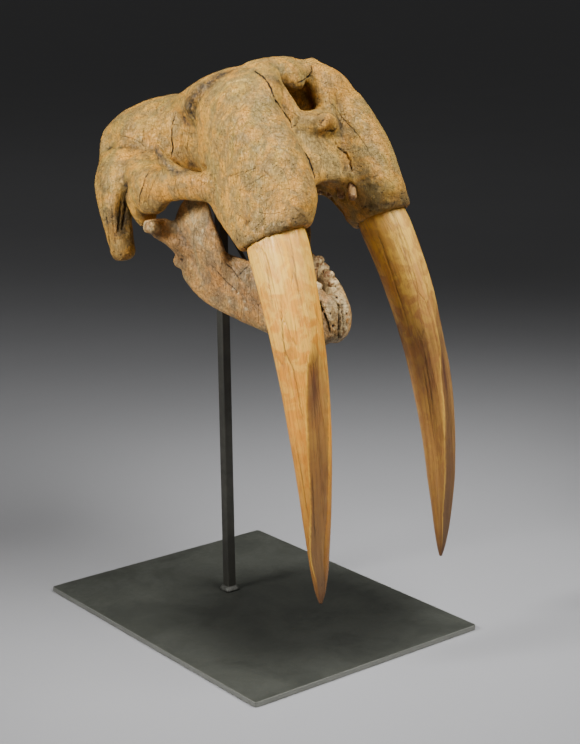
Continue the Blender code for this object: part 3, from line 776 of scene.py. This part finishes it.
def tusk_mesh(side, wear_line, wear_width, stains_and_shade, splits):
    """One tusk, ground flat past its worn edge; side is -1 for the right one and 1 for the left."""
    rings = tusk_rings(side)
    t, centre, run, across, rise, wide, high = rings
    angle = np.arange(TUSK_AROUND) * math.tau / TUSK_AROUND
    x, y = (np.sign(v) * np.abs(v) ** (2 / TUSK_SQUARE) for v in (np.cos(angle), np.sin(angle)))
    edge = ring_places(rings, wear_line)
    past = -turn_between(np.interp(t, edge[:, 0], edge[:, 1])[:, None], angle[None, :])
    half = wear_width / 2
    inside = (past > 0) & (past < 2 * half)
    fade = (soft_step(t, edge[0, 0] - 0.03, edge[0, 0] + 0.14) * soft_step(-t, -1.0, -0.93))[:, None]
    grown = 1 - np.where(inside, fade * (1 - math.cos(half) / np.cos(past - half)), 0)
    fine = tusk_noise(t, angle, side, 9, 7, 5)
    uneven = FLUTE_DEPTH * tusk_noise(t, angle, side, 2.3, 3, 9) + RIPPLE_DEPTH * fine
    grown = grown + uneven * soft_step(-t, -0.99, -0.85)[:, None]
    gap = split_mask(rings, angle, side, splits)
    points = (centre[:, None] + across[:, None] * (x * wide[:, None] * grown)[..., None]
              + rise[:, None] * (y * high[:, None] * grown)[..., None])
    points -= (across[:, None] * x[:, None] + rise[:, None] * y[:, None]) * (SPLIT_DEPTH * gap)[..., None]
    marks = {"facet": np.where(inside, fade * soft_step(past, 0, 0.12), 0),
             "ridge": np.exp(-(past / RIDGE_WIDTH) ** 2) * fade * soft_step(fine, -0.5, 0.3),
             "along": np.repeat(t[:, None], TUSK_AROUND, 1),
             "stain_and_shade": stain_and_shade_mask(t, past, stains_and_shade), "split": gap}
    grain = np.stack([np.broadcast_to(np.cos(angle) * TUSK_GIRTH, past.shape),
                      np.broadcast_to(np.sin(angle) * TUSK_GIRTH, past.shape),
                      np.repeat(t[:, None] * TUSK_LENGTH, TUSK_AROUND, 1)], -1)
    return close_rings(points, TUSK_AROUND, marks, grain)


near_edge = seen_on("tusk_right", (314, 347), (308, 370), (306.5, 390), (306, 410), (307.5, 455),
                    (310, 505), (311, 555), (316, 580))
far_edge = seen_on("tusk_left", (430, 305), (436, 330), (440, 352), (440.5, 370), (442, 390), (444, 410),
                   (445, 455), (445, 480), (442.5, 517))
near_splits = strokes("tusk_right", (
    ((281, 300), (285, 347), (294, 375), (300, 405), (304, 432)), ((268, 262), (271, 290), (276, 318)),
    ((292, 244), (297, 280), (301, 310)), ((312, 470), (313, 510), (315, 545)),
    ((296, 440), (303, 480), (309, 520))))
far_splits = strokes("tusk_left", (
    ((378, 232), (388, 262), (399, 296), (410, 330)), ((394, 214), (405, 250), (416, 290)),
    ((424, 370), (430, 410), (436, 450)), ((420, 330), (428, 372), (434, 410))))
# each stain: place along the tusk, its spread, turn past the edge, reach round, amount
TIP_STAIN = (0.99, 0.04, 0.5, 3, 0.6)
NEAR_STAINS = ((0.37, 0.10, 0.45, 0.34, 1.0), (0.62, 0.12, 0.6, 0.5, 0.4), TIP_STAIN)
FAR_STAINS_AND_SHADE = ((0.42, 0.12, 0.40, 0.40, 1.0), (0.70, 0.25, 0.5, 0.5, 0.55),
              # this broad patch on the far tusk's left side is painted shade, where the skull shades the tusk
              (0.36, 0.18, -0.6, 1.1, 0.85), TIP_STAIN)
tusk_right_mesh = tusk_mesh(-1, near_edge, 1.25, NEAR_STAINS, near_splits)
tusk_left_mesh = tusk_mesh(1, far_edge, 1.1, FAR_STAINS_AND_SHADE, far_splits)
print("near edge places:", ring_places(tusk_rings(-1), near_edge)[::12].round(2).tolist())

# %% [markdown]
# ## Effects for the materials
# The finishes share a few natural effects: cloudy mottling, long streaks, pits and hairline
# cracks. Each is a node group, made once, with its own sizes as inputs, so that every material
# places it with its own values.


# %% Node helpers
def put(tree, kind, values=None, **settings):
    """Add a node, set its options, and fill its inputs with values or links."""
    made = tree.nodes.new("ShaderNode" + kind)
    for key, value in settings.items():
        setattr(made, key, value)
    for key, value in (values or {}).items():
        if isinstance(value, bpy.types.NodeSocket):
            tree.links.new(value, made.inputs[key])
        else:
            made.inputs[key].default_value = value
    return made


def new_effect(name, sizes, outputs):
    """An empty node group: a vector and named sizes go in, named masks come out."""
    tree = bpy.data.node_groups.new(name, "ShaderNodeTree")
    tree.interface.new_socket("Vector", in_out="INPUT", socket_type="NodeSocketVector")
    for label, value in sizes.items():
        tree.interface.new_socket(label, in_out="INPUT", socket_type="NodeSocketFloat").default_value = value
    for label in outputs:
        tree.interface.new_socket(label, in_out="OUTPUT", socket_type="NodeSocketFloat")
    return tree, tree.nodes.new("NodeGroupInput").outputs, tree.nodes.new("NodeGroupOutput").inputs


def maths(tree, operation, a, b=0.0, clamp=False):
    return put(tree, "Math", {0: a, 1: b}, operation=operation, use_clamp=clamp).outputs[0]


def times(tree, a, b):
    return maths(tree, "MULTIPLY", a, b)


def per(tree, size, share=1.0):
    """The scale of a texture whose features have a size."""
    return maths(tree, "DIVIDE", share, size)


def stepped(tree, value, low, high, bottom=0.0, top=1.0):
    """A soft ramp of a value from low to high."""
    return put(tree, "MapRange", {"Value": value, "From Min": low, "From Max": high, "To Min": bottom,
                                  "To Max": top}, interpolation_type="SMOOTHSTEP").outputs["Result"]


def contrasted(tree, value, contrast):
    """A soft ramp about one half, as steep as the contrast is small."""
    return stepped(tree, value, maths(tree, "SUBTRACT", 0.5, contrast), maths(tree, "ADD", 0.5, contrast))


def blended(tree, amount, first, second, way="MIX"):
    made = put(tree, "Mix", data_type="RGBA", blend_type=way)
    for socket, value in ((made.inputs[0], amount), (made.inputs[6], first), (made.inputs[7], second)):
        if isinstance(value, bpy.types.NodeSocket):
            tree.links.new(value, socket)
        else:
            socket.default_value = value if isinstance(value, (int, float)) else (*value[:3], 1)
    return made.outputs[2]


def scaled(tree, vector, scale):
    """A vector times a size, along each axis."""
    return put(tree, "VectorMath", {0: vector, 1: scale}, operation="MULTIPLY").outputs[0]


print("helpers ready")

# %% Mottling effect
mottling, given, result = new_effect("cloudy_mottling", {"Patch": 0.02, "Contrast": 0.2}, ("Mask",))
billows = put(mottling, "TexNoise", {"Vector": given["Vector"], "Scale": per(mottling, given["Patch"]),
                                     "Detail": 5.0, "Roughness": 0.6, "Distortion": 0.6}).outputs["Fac"]
mottling.links.new(contrasted(mottling, billows, given["Contrast"]), result["Mask"])
print("effect:", mottling.name)

# %% Pits effect
pits, given, result = new_effect("small_pits", {"Spacing": 0.003, "Share": 0.4}, ("Mask",))
cells = put(pits, "TexVoronoi", {"Vector": given["Vector"], "Scale": per(pits, given["Spacing"])})
luck = put(pits, "SeparateColor", {"Color": cells.outputs["Color"]}).outputs[0]
size = stepped(pits, luck, maths(pits, "SUBTRACT", 1.0, given["Share"]), 1.0, 0.0, 0.33)
pit = stepped(pits, cells.outputs["Distance"], times(pits, size, 0.35), size, 1.0, 0.0)
pits.links.new(times(pits, pit, maths(pits, "GREATER_THAN", size, 0.02)), result["Mask"])
print("effect:", pits.name)

# %% Hairlines effect
hairlines, given, result = new_effect("hairline_cracks", {"Spacing": 0.02, "Width": 0.02, "Share": 0.5},
                                      ("Mask",))
wander = put(hairlines, "TexNoise", {"Vector": given["Vector"], "Scale": 260.0, "Detail": 3.0}).outputs["Color"]
shaken = put(hairlines, "VectorMath", {0: scaled(hairlines, wander, (0.004, 0.004, 0.004)), 1: given["Vector"]},
             operation="ADD").outputs[0]
web = put(hairlines, "TexVoronoi", {"Vector": shaken, "Scale": per(hairlines, given["Spacing"])},
          feature="DISTANCE_TO_EDGE").outputs["Distance"]
gaps = put(hairlines, "TexNoise", {"Vector": given["Vector"], "Scale": per(hairlines, given["Spacing"], 0.7),
                                   "Detail": 2.0}).outputs["Fac"]
kept = stepped(hairlines, gaps, maths(hairlines, "SUBTRACT", 0.9, given["Share"]),
               maths(hairlines, "SUBTRACT", 1.0, given["Share"]))
drawn = stepped(hairlines, web, 0.0, given["Width"], 1.0, 0.0)
hairlines.links.new(times(hairlines, drawn, kept), result["Mask"])
print("effect:", hairlines.name)

# %% Streaks effect
streaks, given, result = new_effect("long_streaks", {"Width": 0.002, "Contrast": 0.25},
                                    ("Mask", "Lines", "Height"))
fibres = put(streaks, "TexNoise", {"Vector": given["Vector"], "Scale": per(streaks, given["Width"]),
                                   "Detail": 4.0, "Roughness": 0.65, "Distortion": 0.05}).outputs["Fac"]
from_middle = maths(streaks, "ABSOLUTE", maths(streaks, "SUBTRACT", fibres, 0.5))
thin = stepped(streaks, from_middle, 0.0, 0.028, 1.0, 0.0)
streaks.links.new(contrasted(streaks, fibres, given["Contrast"]), result["Mask"])
streaks.links.new(thin, result["Lines"])
streaks.links.new(maths(streaks, "SUBTRACT", fibres, times(streaks, thin, 0.35)), result["Height"])
print("effect:", streaks.name)


# %% Material helpers
def linear(red, green, blue):
    """A colour picked as display values, made linear for the shader."""
    return tuple(((v / 255 + 0.055) / 1.055) ** 2.4 for v in (red, green, blue)) + (1,)


def use(tree, effect, **values):
    """Place an effect in a material with its own values."""
    return put(tree, "Group", values, node_tree=effect).outputs


def clouds(tree, vector, patch, contrast):
    return use(tree, mottling, Vector=vector, Patch=patch, Contrast=contrast)["Mask"]


def specks(tree, vector, spacing, share):
    return use(tree, pits, Vector=vector, Spacing=spacing, Share=share)["Mask"]


def hairs(tree, vector, spacing, width, share):
    return use(tree, hairlines, Vector=vector, Spacing=spacing, Width=width, Share=share)["Mask"]


def painted(tree, name):
    """A mask that was painted on the mesh."""
    return put(tree, "Attribute", attribute_name=name).outputs["Fac"]


def on_object(tree):
    return put(tree, "TexCoord").outputs["Object"]


def toned(tree, colour, value, dark_end, light_end):
    """Darken and lighten a colour by a mask, as thin washes do."""
    return blended(tree, 1.0, colour, stepped(tree, value, 0.0, 1.0, dark_end, light_end), "MULTIPLY")


def washed(tree, colour, mask, amount, tint):
    """Lay a tint over a colour, as strong as a mask times an amount."""
    return blended(tree, times(tree, mask, amount), colour, tint)


def summed(tree, first, *others):
    """The sum of values, each times its amount."""
    total = times(tree, *first)
    for other in others:
        total = maths(tree, "ADD", total, times(tree, *other))
    return total


def new_material(name):
    material = bpy.data.materials.new(name)
    material.use_nodes = True
    return material, material.node_tree


def coat(tree, colour, roughness, height, distance, strength=1.0, fixed=()):
    """Feed the shader its colour, roughness and bumps, and its values that never change."""
    shader = tree.nodes["Principled BSDF"]
    normal = put(tree, "Bump", {"Height": height, "Distance": distance, "Strength": strength}).outputs["Normal"]
    for label, value in (("Base Color", colour), ("Roughness", roughness), ("Normal", normal)):
        tree.links.new(value, shader.inputs[label])
    for label, value in fixed:
        shader.inputs[label].default_value = value


print("material helpers ready")

# %% [markdown]
# ## Fossil bone
# The skull is dull and dry, tan with olive clouds and warmer orange hollows. Faint fibres run
# along it, slanted scratches cross it, small pits freckle it, and dark earth sits in every crack.
# One even noise would look like clay, so washes of several sizes lie over each other, and the
# painted masks say where the dark brow, the rough socket rims and the warm hollows are. They also
# hold painted shade, darker in hollows, under the arch and round the mastoid, and painted light,
# paler on the face, on ridges, over the eye and on the jaw's ramus.


# %% Colour of the bone
def bone_colour(tree, place, upright, tan, olive, warm, grey, pale):
    """Clouds of four tints, then washes from a hand's width down to a grain of sand."""
    colour = blended(tree, clouds(tree, place, 0.050, 0.08), tan, olive)
    colour = washed(tree, colour, clouds(tree, scaled(tree, place, (1.3, 1.3, 0.8)), 0.034, 0.10), 0.55, warm)
    colour = washed(tree, colour, painted(tree, "warm"), 0.75, warm)
    # painted light: the face is made paler
    colour = washed(tree, colour, painted(tree, "light"), 0.55, pale)
    colour = washed(tree, colour, clouds(tree, place, 0.020, 0.08), 0.60, grey)
    # the pale mask: real scuffs and flakes, and painted highlights over the eye and on the jaw's ramus
    scuffs_and_highlights = times(tree, painted(tree, "pale"), clouds(tree, place, 0.007, 0.10))
    colour = washed(tree, colour, scuffs_and_highlights, 0.85, pale)
    fine = clouds(tree, place, 0.0055, 0.20)
    colour = toned(tree, colour, fine, 1.10, 0.80)
    return toned(tree, colour, clouds(tree, upright, 0.0016, 0.22), 1.14, 0.75), fine


def scoring(tree, place, fibre, cross):
    """Thin lines along the fibres and across them, with slanted scratches."""
    slanted = put(tree, "VectorRotate", {"Vector": place, "Axis": (0.3, 1.0, 0.2), "Angle": 1.1}).outputs[0]
    scratches = hairs(tree, scaled(tree, slanted, (1.0, 1.0, 0.22)), 0.011, 0.022, 0.42)
    lines = maths(tree, "MAXIMUM", times(tree, fibre["Lines"], 0.35), times(tree, cross["Lines"], 0.4))
    return maths(tree, "MAXIMUM", lines, scratches)


print("bone colour ready")


# %% Bone material
def bone_material(name, *tints):
    """Bone in seven display tints: tan, olive, warm, grey, dark, pale and earth."""
    tan, olive, warm, grey, dark, pale, earth_and_shade = (linear(*tint) for tint in tints)
    material, tree = new_material(name)
    place = on_object(tree)
    upright = scaled(tree, place, (1.0, 1.0, 0.30))
    colour, fine = bone_colour(tree, place, upright, tan, olive, warm, grey, pale)
    fibre = use(tree, streaks, Vector=scaled(tree, place, (1.0, 1.0, 0.16)), Width=0.0060, Contrast=0.22)
    cross = use(tree, streaks, Vector=scaled(tree, place, (0.22, 0.30, 1.0)), Width=0.0080, Contrast=0.22)
    scored = scoring(tree, place, fibre, cross)
    colour = toned(tree, colour, scored, 1.0, 0.62)
    rough, hollow = painted(tree, "rough"), painted(tree, "hollow")
    # the dark mask: the real dark brow, and painted shade on the mastoid, in its grooves, in the gap before it
    # and under the arch
    brow_and_painted_shade = times(tree, painted(tree, "dark"), stepped(tree, fine, 0.0, 1.0, 0.6, 0.95))
    colour = blended(tree, brow_and_painted_shade, colour, dark)
    colour = washed(tree, colour, rough, 0.50, dark)
    # earth in the hollows, deepened as painted shade, then the ridges made paler as a painted highlight
    colour = blended(tree, stepped(tree, hollow, 0.02, 0.8, 0.0, 0.85), colour, earth_and_shade)
    colour = blended(tree, stepped(tree, hollow, -0.8, -0.08, 0.40, 0.0), colour, pale)
    freckles = specks(tree, place, 0.0036, 0.34)
    pocks = times(tree, specks(tree, place, 0.0046, 0.85), rough)
    webs = hairs(tree, upright, 0.012, 0.030, 0.36)
    for mask, amount in ((freckles, 0.6), (pocks, 0.9), (webs, 0.4)):
        colour = washed(tree, colour, mask, amount, earth_and_shade)
    buried = maths(tree, "MAXIMUM", painted(tree, "crack"), painted(tree, "socket"), True)
    colour = blended(tree, buried, colour, earth_and_shade)
    height = summed(tree, (fibre["Height"], 0.20), (cross["Height"], 0.12), (freckles, -0.35), (pocks, -1.1),
                    (webs, -0.3), (fine, -0.18), (scored, -0.30))
    coat(tree, colour, stepped(tree, fine, 0.0, 1.0, 0.46, 0.66), height, 0.0022,
         fixed=(("Specular IOR Level", 0.35),))
    return material


fossil_bone = bone_material("fossil_bone", (214, 160, 66), (182, 146, 68), (212, 144, 50), (136, 120, 76),
                            (62, 50, 35), (250, 208, 118), (34, 21, 8))
jaw_bone = bone_material("jaw_bone", (204, 158, 90), (162, 134, 86), (188, 126, 60), (126, 110, 82),
                         (74, 52, 28), (238, 212, 158), (30, 17, 7))
print("bone materials ready")

# %% [markdown]
# ## Old ivory
# The tusks are honey and amber, the near one deeper than the far one, so one recipe makes two
# finishes. Their grain runs the whole length, and the colour follows the vector painted along
# and around each tusk, because streaks on the world's axes would cross a curved tusk. Drying
# splits run down both tusks, and the worn faces are stained purple-brown. The worn faces are
# also painted darker as painted shade, and so is the far tusk's left side, where the skull shades it.


# %% Ivory material
def ivory_material(name, honey, amber):
    """Ivory from two linear tints, with cream ripples, a brown tip, stains and splits, and painted shade on the
    worn face and the far tusk's left side.
    """
    material, tree = new_material(name)
    grain = put(tree, "Attribute", attribute_name="grain").outputs["Vector"]
    long_way = scaled(tree, grain, (1.0, 1.0, 0.022))
    broad = use(tree, streaks, Vector=long_way, Width=0.0090, Contrast=0.16)
    fine = use(tree, streaks, Vector=long_way, Width=0.0028, Contrast=0.20)
    along_tusk = painted(tree, "along")
    umber, cream = linear(92, 58, 28), linear(255, 204, 84)
    ripples = times(tree, clouds(tree, scaled(tree, grain, (1.0, 1.0, 0.60)), 0.010, 0.08),
                    stepped(tree, along_tusk, 0.05, 0.50, 0.80, 0.22))
    colour = washed(tree, honey, broad["Mask"], 0.7, amber)
    colour = washed(tree, colour, clouds(tree, scaled(tree, grain, (1.0, 1.0, 0.45)), 0.022, 0.12), 0.18, umber)
    colour = blended(tree, ripples, colour, cream)
    colour = washed(tree, colour, fine["Mask"], 0.22, amber)
    colour = toned(tree, colour, fine["Lines"], 1.0, 0.78)
    colour = blended(tree, stepped(tree, along_tusk, 0.0, 0.25, 0.25, 0.0), colour, cream)
    colour = blended(tree, stepped(tree, along_tusk, 0.40, 1.0, 0.0, 0.75), colour, umber)
    # the worn face is painted darker as painted shade
    colour = washed(tree, colour, painted(tree, "facet"), 0.62, linear(112, 88, 62))
    # purple-brown stains, and painted shade on the far tusk's left side
    stain_and_shade = times(tree, painted(tree, "stain_and_shade"), stepped(tree, broad["Mask"], 0.0, 1.0, 0.7, 1.0))
    colour = washed(tree, colour, stain_and_shade, 0.85, linear(84, 50, 46))
    colour = washed(tree, colour, painted(tree, "ridge"), 0.65, cream)
    hairline = hairs(tree, scaled(tree, grain, (1.0, 1.0, 0.06)), 0.009, 0.03, 0.50)
    colour = washed(tree, colour, hairline, 0.28, linear(60, 34, 18))
    colour = washed(tree, colour, painted(tree, "split"), 0.7, linear(52, 28, 14))
    height = summed(tree, (fine["Height"], 0.35), (broad["Height"], 0.2), (hairline, -0.3))
    coat(tree, colour, stepped(tree, fine["Mask"], 0.0, 1.0, 0.34, 0.50), height, 0.0014,
         fixed=(("Specular IOR Level", 0.45),))
    return material


near_ivory = ivory_material("near_ivory", linear(246, 168, 48), linear(206, 124, 30))
far_ivory = ivory_material("far_ivory", linear(226, 162, 78), linear(176, 116, 52))
print("ivory ready")

# %% [markdown]
# ## Teeth
# The cheek teeth are worn pegs, low and blunt. Their crowns are cream where they are chipped
# and brown where earth has soaked in. They are too small for painted masks, so clouds and
# specks alone colour them. The upper teeth, in the shade under the palate, take a browner copy
# of the finish as painted shade.


# %% Tooth material
def tooth_material(name, crown, root):
    material, tree = new_material(name)
    place = on_object(tree)
    cloud = clouds(tree, place, 0.006, 0.10)
    colour = blended(tree, cloud, crown, root)
    colour = washed(tree, colour, specks(tree, place, 0.0016, 0.4), 0.6, linear(70, 44, 28))
    coat(tree, colour, stepped(tree, cloud, 0.0, 1.0, 0.35, 0.6), cloud, 0.0005)
    return material


worn_tooth = tooth_material("worn_tooth", linear(234, 206, 150), linear(130, 90, 50))
# a browner copy for the upper teeth: painted shade under the palate
stained_tooth = tooth_material("stained_tooth", linear(190, 148, 92), linear(120, 82, 46))
print("teeth ready")

# %% [markdown]
# ## Blackened steel
# Plate, post, rods and weld are steel with a dark oxide finish under wax. It is nearly black,
# faintly green and cloudy in broad patches. The plate also gets painted shade, darkest under the
# skull, a painted sheen that lightens it outwards, and a painted highlight along its edges. A flat
# black would lose the plate's form, so soft clouds and the painted highlight along the rim carry it.

# %% Steel material
PLATE_HALF = (0.178, 0.234)
EDGE_HIGHLIGHT_FROM, EDGE_HIGHLIGHT_TO = 0.0024, 0.0006
DARKEST_PLACE = (0.03, -0.06, 0.0)


def plate_shade_and_highlights(tree, place, colour):
    """Painted shade, darkest round one place under the skull, a painted sheen outwards, and a painted highlight
    along the edges.
    """
    away = put(tree, "VectorMath", {0: place, 1: DARKEST_PLACE}, operation="DISTANCE").outputs["Value"]
    # painted shade under the skull, lightening outwards as a painted sheen
    colour = toned(tree, colour, stepped(tree, away, 0.06, 0.26), 0.54, 1.55)
    # a painted highlight along the plate's edges
    edge_highlight = 0.0
    for axis, half in zip(put(tree, "SeparateXYZ", {"Vector": place}).outputs, PLATE_HALF):
        edge = stepped(tree, maths(tree, "ABSOLUTE", axis), half - EDGE_HIGHLIGHT_FROM, half - EDGE_HIGHLIGHT_TO)
        edge_highlight = maths(tree, "MAXIMUM", edge_highlight, edge)
    return washed(tree, colour, edge_highlight, 0.6, linear(150, 150, 142))


def steel_material(name, face, cloudy, is_plate=False):
    material, tree = new_material(name)
    place = on_object(tree)
    broad = clouds(tree, place, 0.085, 0.16)
    small = clouds(tree, place, 0.012, 0.20)
    colour = washed(tree, blended(tree, broad, face, cloudy), small, 0.35, cloudy)
    if is_plate:
        colour = plate_shade_and_highlights(tree, place, colour)
    coat(tree, colour, stepped(tree, maths(tree, "ADD", broad, small), 0.0, 2.0, 0.38, 0.58),
         maths(tree, "ADD", times(tree, small, 0.5), broad), 0.00025, 0.5, (("Metallic", 0.55),))
    return material


plate_steel = steel_material("plate_steel", linear(86, 88, 81), linear(64, 66, 60), True)
post_steel = steel_material("post_steel", linear(78, 77, 70), linear(60, 59, 54))
for node, material in (("base_plate", plate_steel), ("post", post_steel), ("skull_cradle", post_steel)):
    for material_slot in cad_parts[node].material_slots:
        material_slot.material = material
print("steel ready")

# %% [markdown]
# ## Put the pieces in place
# Each finished mesh becomes an object, rides on the root body, and stands in for its solid. One
# function does it for every piece, so none is forgotten.


# %% Show the bones and tusks
def show(name, mesh, material, node):
    """Put a finished mesh in the scene in place of its solid."""
    mesh.materials.clear()
    mesh.materials.append(material)
    mesh.polygons.foreach_set("use_smooth", [True] * len(mesh.polygons))
    piece = bpy.data.objects.new(name, mesh)
    bpy.context.scene.collection.objects.link(piece)
    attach(piece, "root")
    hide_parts(node)
    print(name, len(mesh.polygons), "faces")


for clay in (skull, jaw):
    clay.keep_paint()
show("skull_bone", skull_mesh, fossil_bone, "cranium")
show("jaw_bone", jaw_mesh, jaw_bone, "mandible")
show("ivory_right", tusk_right_mesh, near_ivory, "tusk_right")
show("ivory_left", tusk_left_mesh, far_ivory, "tusk_left")


# %% Teeth
TOOTH_RINGS, TOOTH_AROUND = 12, 20
PEG_SHAPE = ((-1.0, 0.55), (-0.3, 0.98), (0.45, 1.0), (0.75, 0.94), (0.92, 0.74), (1.0, 0.40))


def peg_mesh(node, number, crown, swell):
    """A worn peg on the axis of its solid, with a blunt crown and an uneven side."""
    solid = to_skull([v.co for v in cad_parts[node].data.vertices])
    centre = solid.mean(0)
    axes = np.linalg.svd(solid - centre)[2]
    axis = axes[0] * (1 if axes[0] @ crown > 0 else -1)
    half = np.abs((solid - centre) @ axis).max()
    side, front = axes[1], np.cross(axis, axes[1])
    radius = np.abs((solid - centre) @ side).max()
    level = np.linspace(-1, 1, TOOTH_RINGS)
    width = np.interp(level, *zip(*PEG_SHAPE)) * radius * (1 + (swell - 1) * soft_step(level, -0.3, 0.5))
    angle = np.arange(TOOTH_AROUND) * math.tau / TOOTH_AROUND
    points = []
    for z, w in zip(level, width):
        for a in angle:
            uneven = noise.noise(Vector((math.cos(a) * 1.2, math.sin(a) * 1.2, z * 1.2 + number * 3.7)))
            wear = 0.10 * half * noise.noise(Vector((math.cos(a), math.sin(a), number * 1.9))) * max(z, 0)
            points.append(centre + axis * (z * half * 0.98 + wear)
                          + (side * math.cos(a) + front * math.sin(a)) * w * (1 + 0.16 * uneven))
    return close_rings(points, TOOTH_AROUND)


# the upper row takes the browner finish as painted shade under the palate
ROWS = {"upper": ((0, 0, -1), 1.0, stained_tooth), "lower": ((0, -0.3, 1), 1.30, worn_tooth)}
teeth = [f"{row}_tooth_{side}_{place}" for row in ROWS for side in ("right", "left") for place in (1, 2, 3, 4)]
for number, node in enumerate(teeth, 1):
    crown, swell, finish = ROWS[node.split("_")[0]]
    peg = peg_mesh(node, number, np.array(crown, float), swell)
    show(node.replace("tooth", "peg"), peg, finish, node)

# %% [markdown]
# ## Rods and weld
# Two thin bent rods carry the jaw. A tube swept along a smooth route gives them round elbows. The
# weld is a bead laid round the post's foot in short overlapping pools, which show as ripples.

# %% Rods
ROD_ROUTE = ((0.0036, -0.0070, 0.5065), (0.0042, -0.0110, 0.5062), (0.0100, -0.0300, 0.4950),
             (0.0230, -0.0620, 0.4800), (0.0340, -0.0880, 0.4690), (0.0364, -0.0950, 0.4570),
             (0.0341, -0.0980, 0.4380))
ROD_RADIUS = 0.0023
ROD_AROUND = 16


def rod_mesh(side):
    route = along([(side * x, y, z) for x, y, z in ROD_ROUTE], 0.002)
    run = np.gradient(route, axis=0)
    run /= np.linalg.norm(run, axis=1)[:, None]
    across = np.cross(run, (1.0, 0, 0.2))
    across /= np.linalg.norm(across, axis=1)[:, None]
    rise = np.cross(across, run)
    angle = np.arange(ROD_AROUND) * math.tau / ROD_AROUND
    points = (route[:, None] + across[:, None] * (ROD_RADIUS * np.cos(angle))[None, :, None]
              + rise[:, None] * (ROD_RADIUS * np.sin(angle))[None, :, None])
    return close_rings(points, ROD_AROUND)


show("rod_right", rod_mesh(-1), post_steel, "jaw_arm_right")
show("rod_left", rod_mesh(1), post_steel, "jaw_arm_left")

# %% Weld bead
BEAD_PROFILE = ((0.0070, 0.0003), (0.0108, 0.0003), (0.0114, 0.0012), (0.0106, 0.0030), (0.0088, 0.0055),
                (0.0074, 0.0070), (0.0067, 0.0068))
BEAD_AROUND = 96
PLATE_TOP = 0.0064


def bead_mesh():
    """A closed collar round the post, square like it, with a rippled face."""
    points, faces = [], []
    for step in range(BEAD_AROUND):
        turn = math.tau * step / BEAD_AROUND
        c, s = math.cos(turn), math.sin(turn)
        square = (abs(c) ** 4 + abs(s) ** 4) ** -0.25
        ripple = 0.5 + 0.5 * math.sin(turn * 22 + 1.5 * math.sin(turn * 3))
        for k, (out, up) in enumerate(BEAD_PROFILE):
            lump = 1 + (0.035 * ripple + 0.03 * noise.noise(Vector((c * 2, s * 2, k)))) * (1 < k < 6)
            points.append(POST_PLACE + Vector((c * square * out * lump, s * square * out * lump,
                                               PLATE_TOP + up)))
    rows = len(BEAD_PROFILE)
    for step in range(BEAD_AROUND):
        after = (step + 1) % BEAD_AROUND
        for k in range(rows):
            up = (k + 1) % rows
            faces.append((step * rows + k, after * rows + k, after * rows + up, step * rows + up))
    mesh = bpy.data.meshes.new("bead")
    mesh.from_pydata(points, [], faces)
    return face_out(mesh)


weld_steel = steel_material("weld_steel", linear(96, 96, 90), linear(58, 58, 54))
show("weld_bead", bead_mesh(), weld_steel, "post_weld")

# %% [markdown]
# ## The floor and the light
# The object stands on a plain pale floor. A broad lamp high in front models the bone and a lower
# one on the left fills it, a small one brightens the floor on the left, and a wash far behind
# lifts the ground there. Real lamps are simpler than painted shades, and hold from every side.

# %% Floor
FLOOR_REACH = 60.0
FLOOR_DROP = 0.0003
floor_mesh = bpy.data.meshes.new("floor")
floor_mesh.from_pydata([(-FLOOR_REACH, -FLOOR_REACH, 0), (FLOOR_REACH, -FLOOR_REACH, 0),
                        (FLOOR_REACH, FLOOR_REACH, 0), (-FLOOR_REACH, FLOOR_REACH, 0)], [], [(0, 1, 2, 3)])
floor = bpy.data.objects.new("floor", floor_mesh)
floor.location.z = -FLOOR_DROP
bpy.context.scene.collection.objects.link(floor)
paper, tree = new_material("pale_paper")
shader = tree.nodes["Principled BSDF"]
colour = blended(tree, clouds(tree, on_object(tree), 0.4, 0.5), linear(166, 166, 168), linear(162, 162, 164))
tree.links.new(colour, shader.inputs["Base Color"])
shader.inputs["Roughness"].default_value = 0.9
floor_mesh.materials.append(paper)
print("floor ready")


# %% Lights
def soft_light(name, place, aim, size, spread, power):
    lamp = bpy.data.lights.new(name, "AREA")
    lamp.shape = "DISK"
    lamp.size = size
    lamp.spread = math.radians(spread)
    lamp.energy = power
    holder = bpy.data.objects.new(name, lamp)
    bpy.context.scene.collection.objects.link(holder)
    holder.location = place
    holder.rotation_euler = (Vector(place) - Vector(aim)).to_track_quat("Z", "Y").to_euler()


soft_light("high_front", (0.26, -1.05, 1.78), (0, -0.20, 0.45), 1.5, 75, 13.0)
soft_light("left", (-1.42, 0.12, 1.16), (0, -0.15, 0.45), 0.5, 60, 4.9)
soft_light("top", (-0.95, -0.05, 1.85), (-0.85, 0.05, 0), 0.8, 130, 2.6)
soft_light("wash", (0.90, 3.20, 3.80), (0.90, 3.20, 0), 1.0, 180, 5.0)
world = bpy.data.worlds.new("studio")
bpy.context.scene.world = world
world.use_nodes = True
studio = world.node_tree.nodes["Background"].inputs
studio["Color"].default_value = (0.5, 0.5, 0.5, 1)
studio["Strength"].default_value = 0.10
print("lights ready")
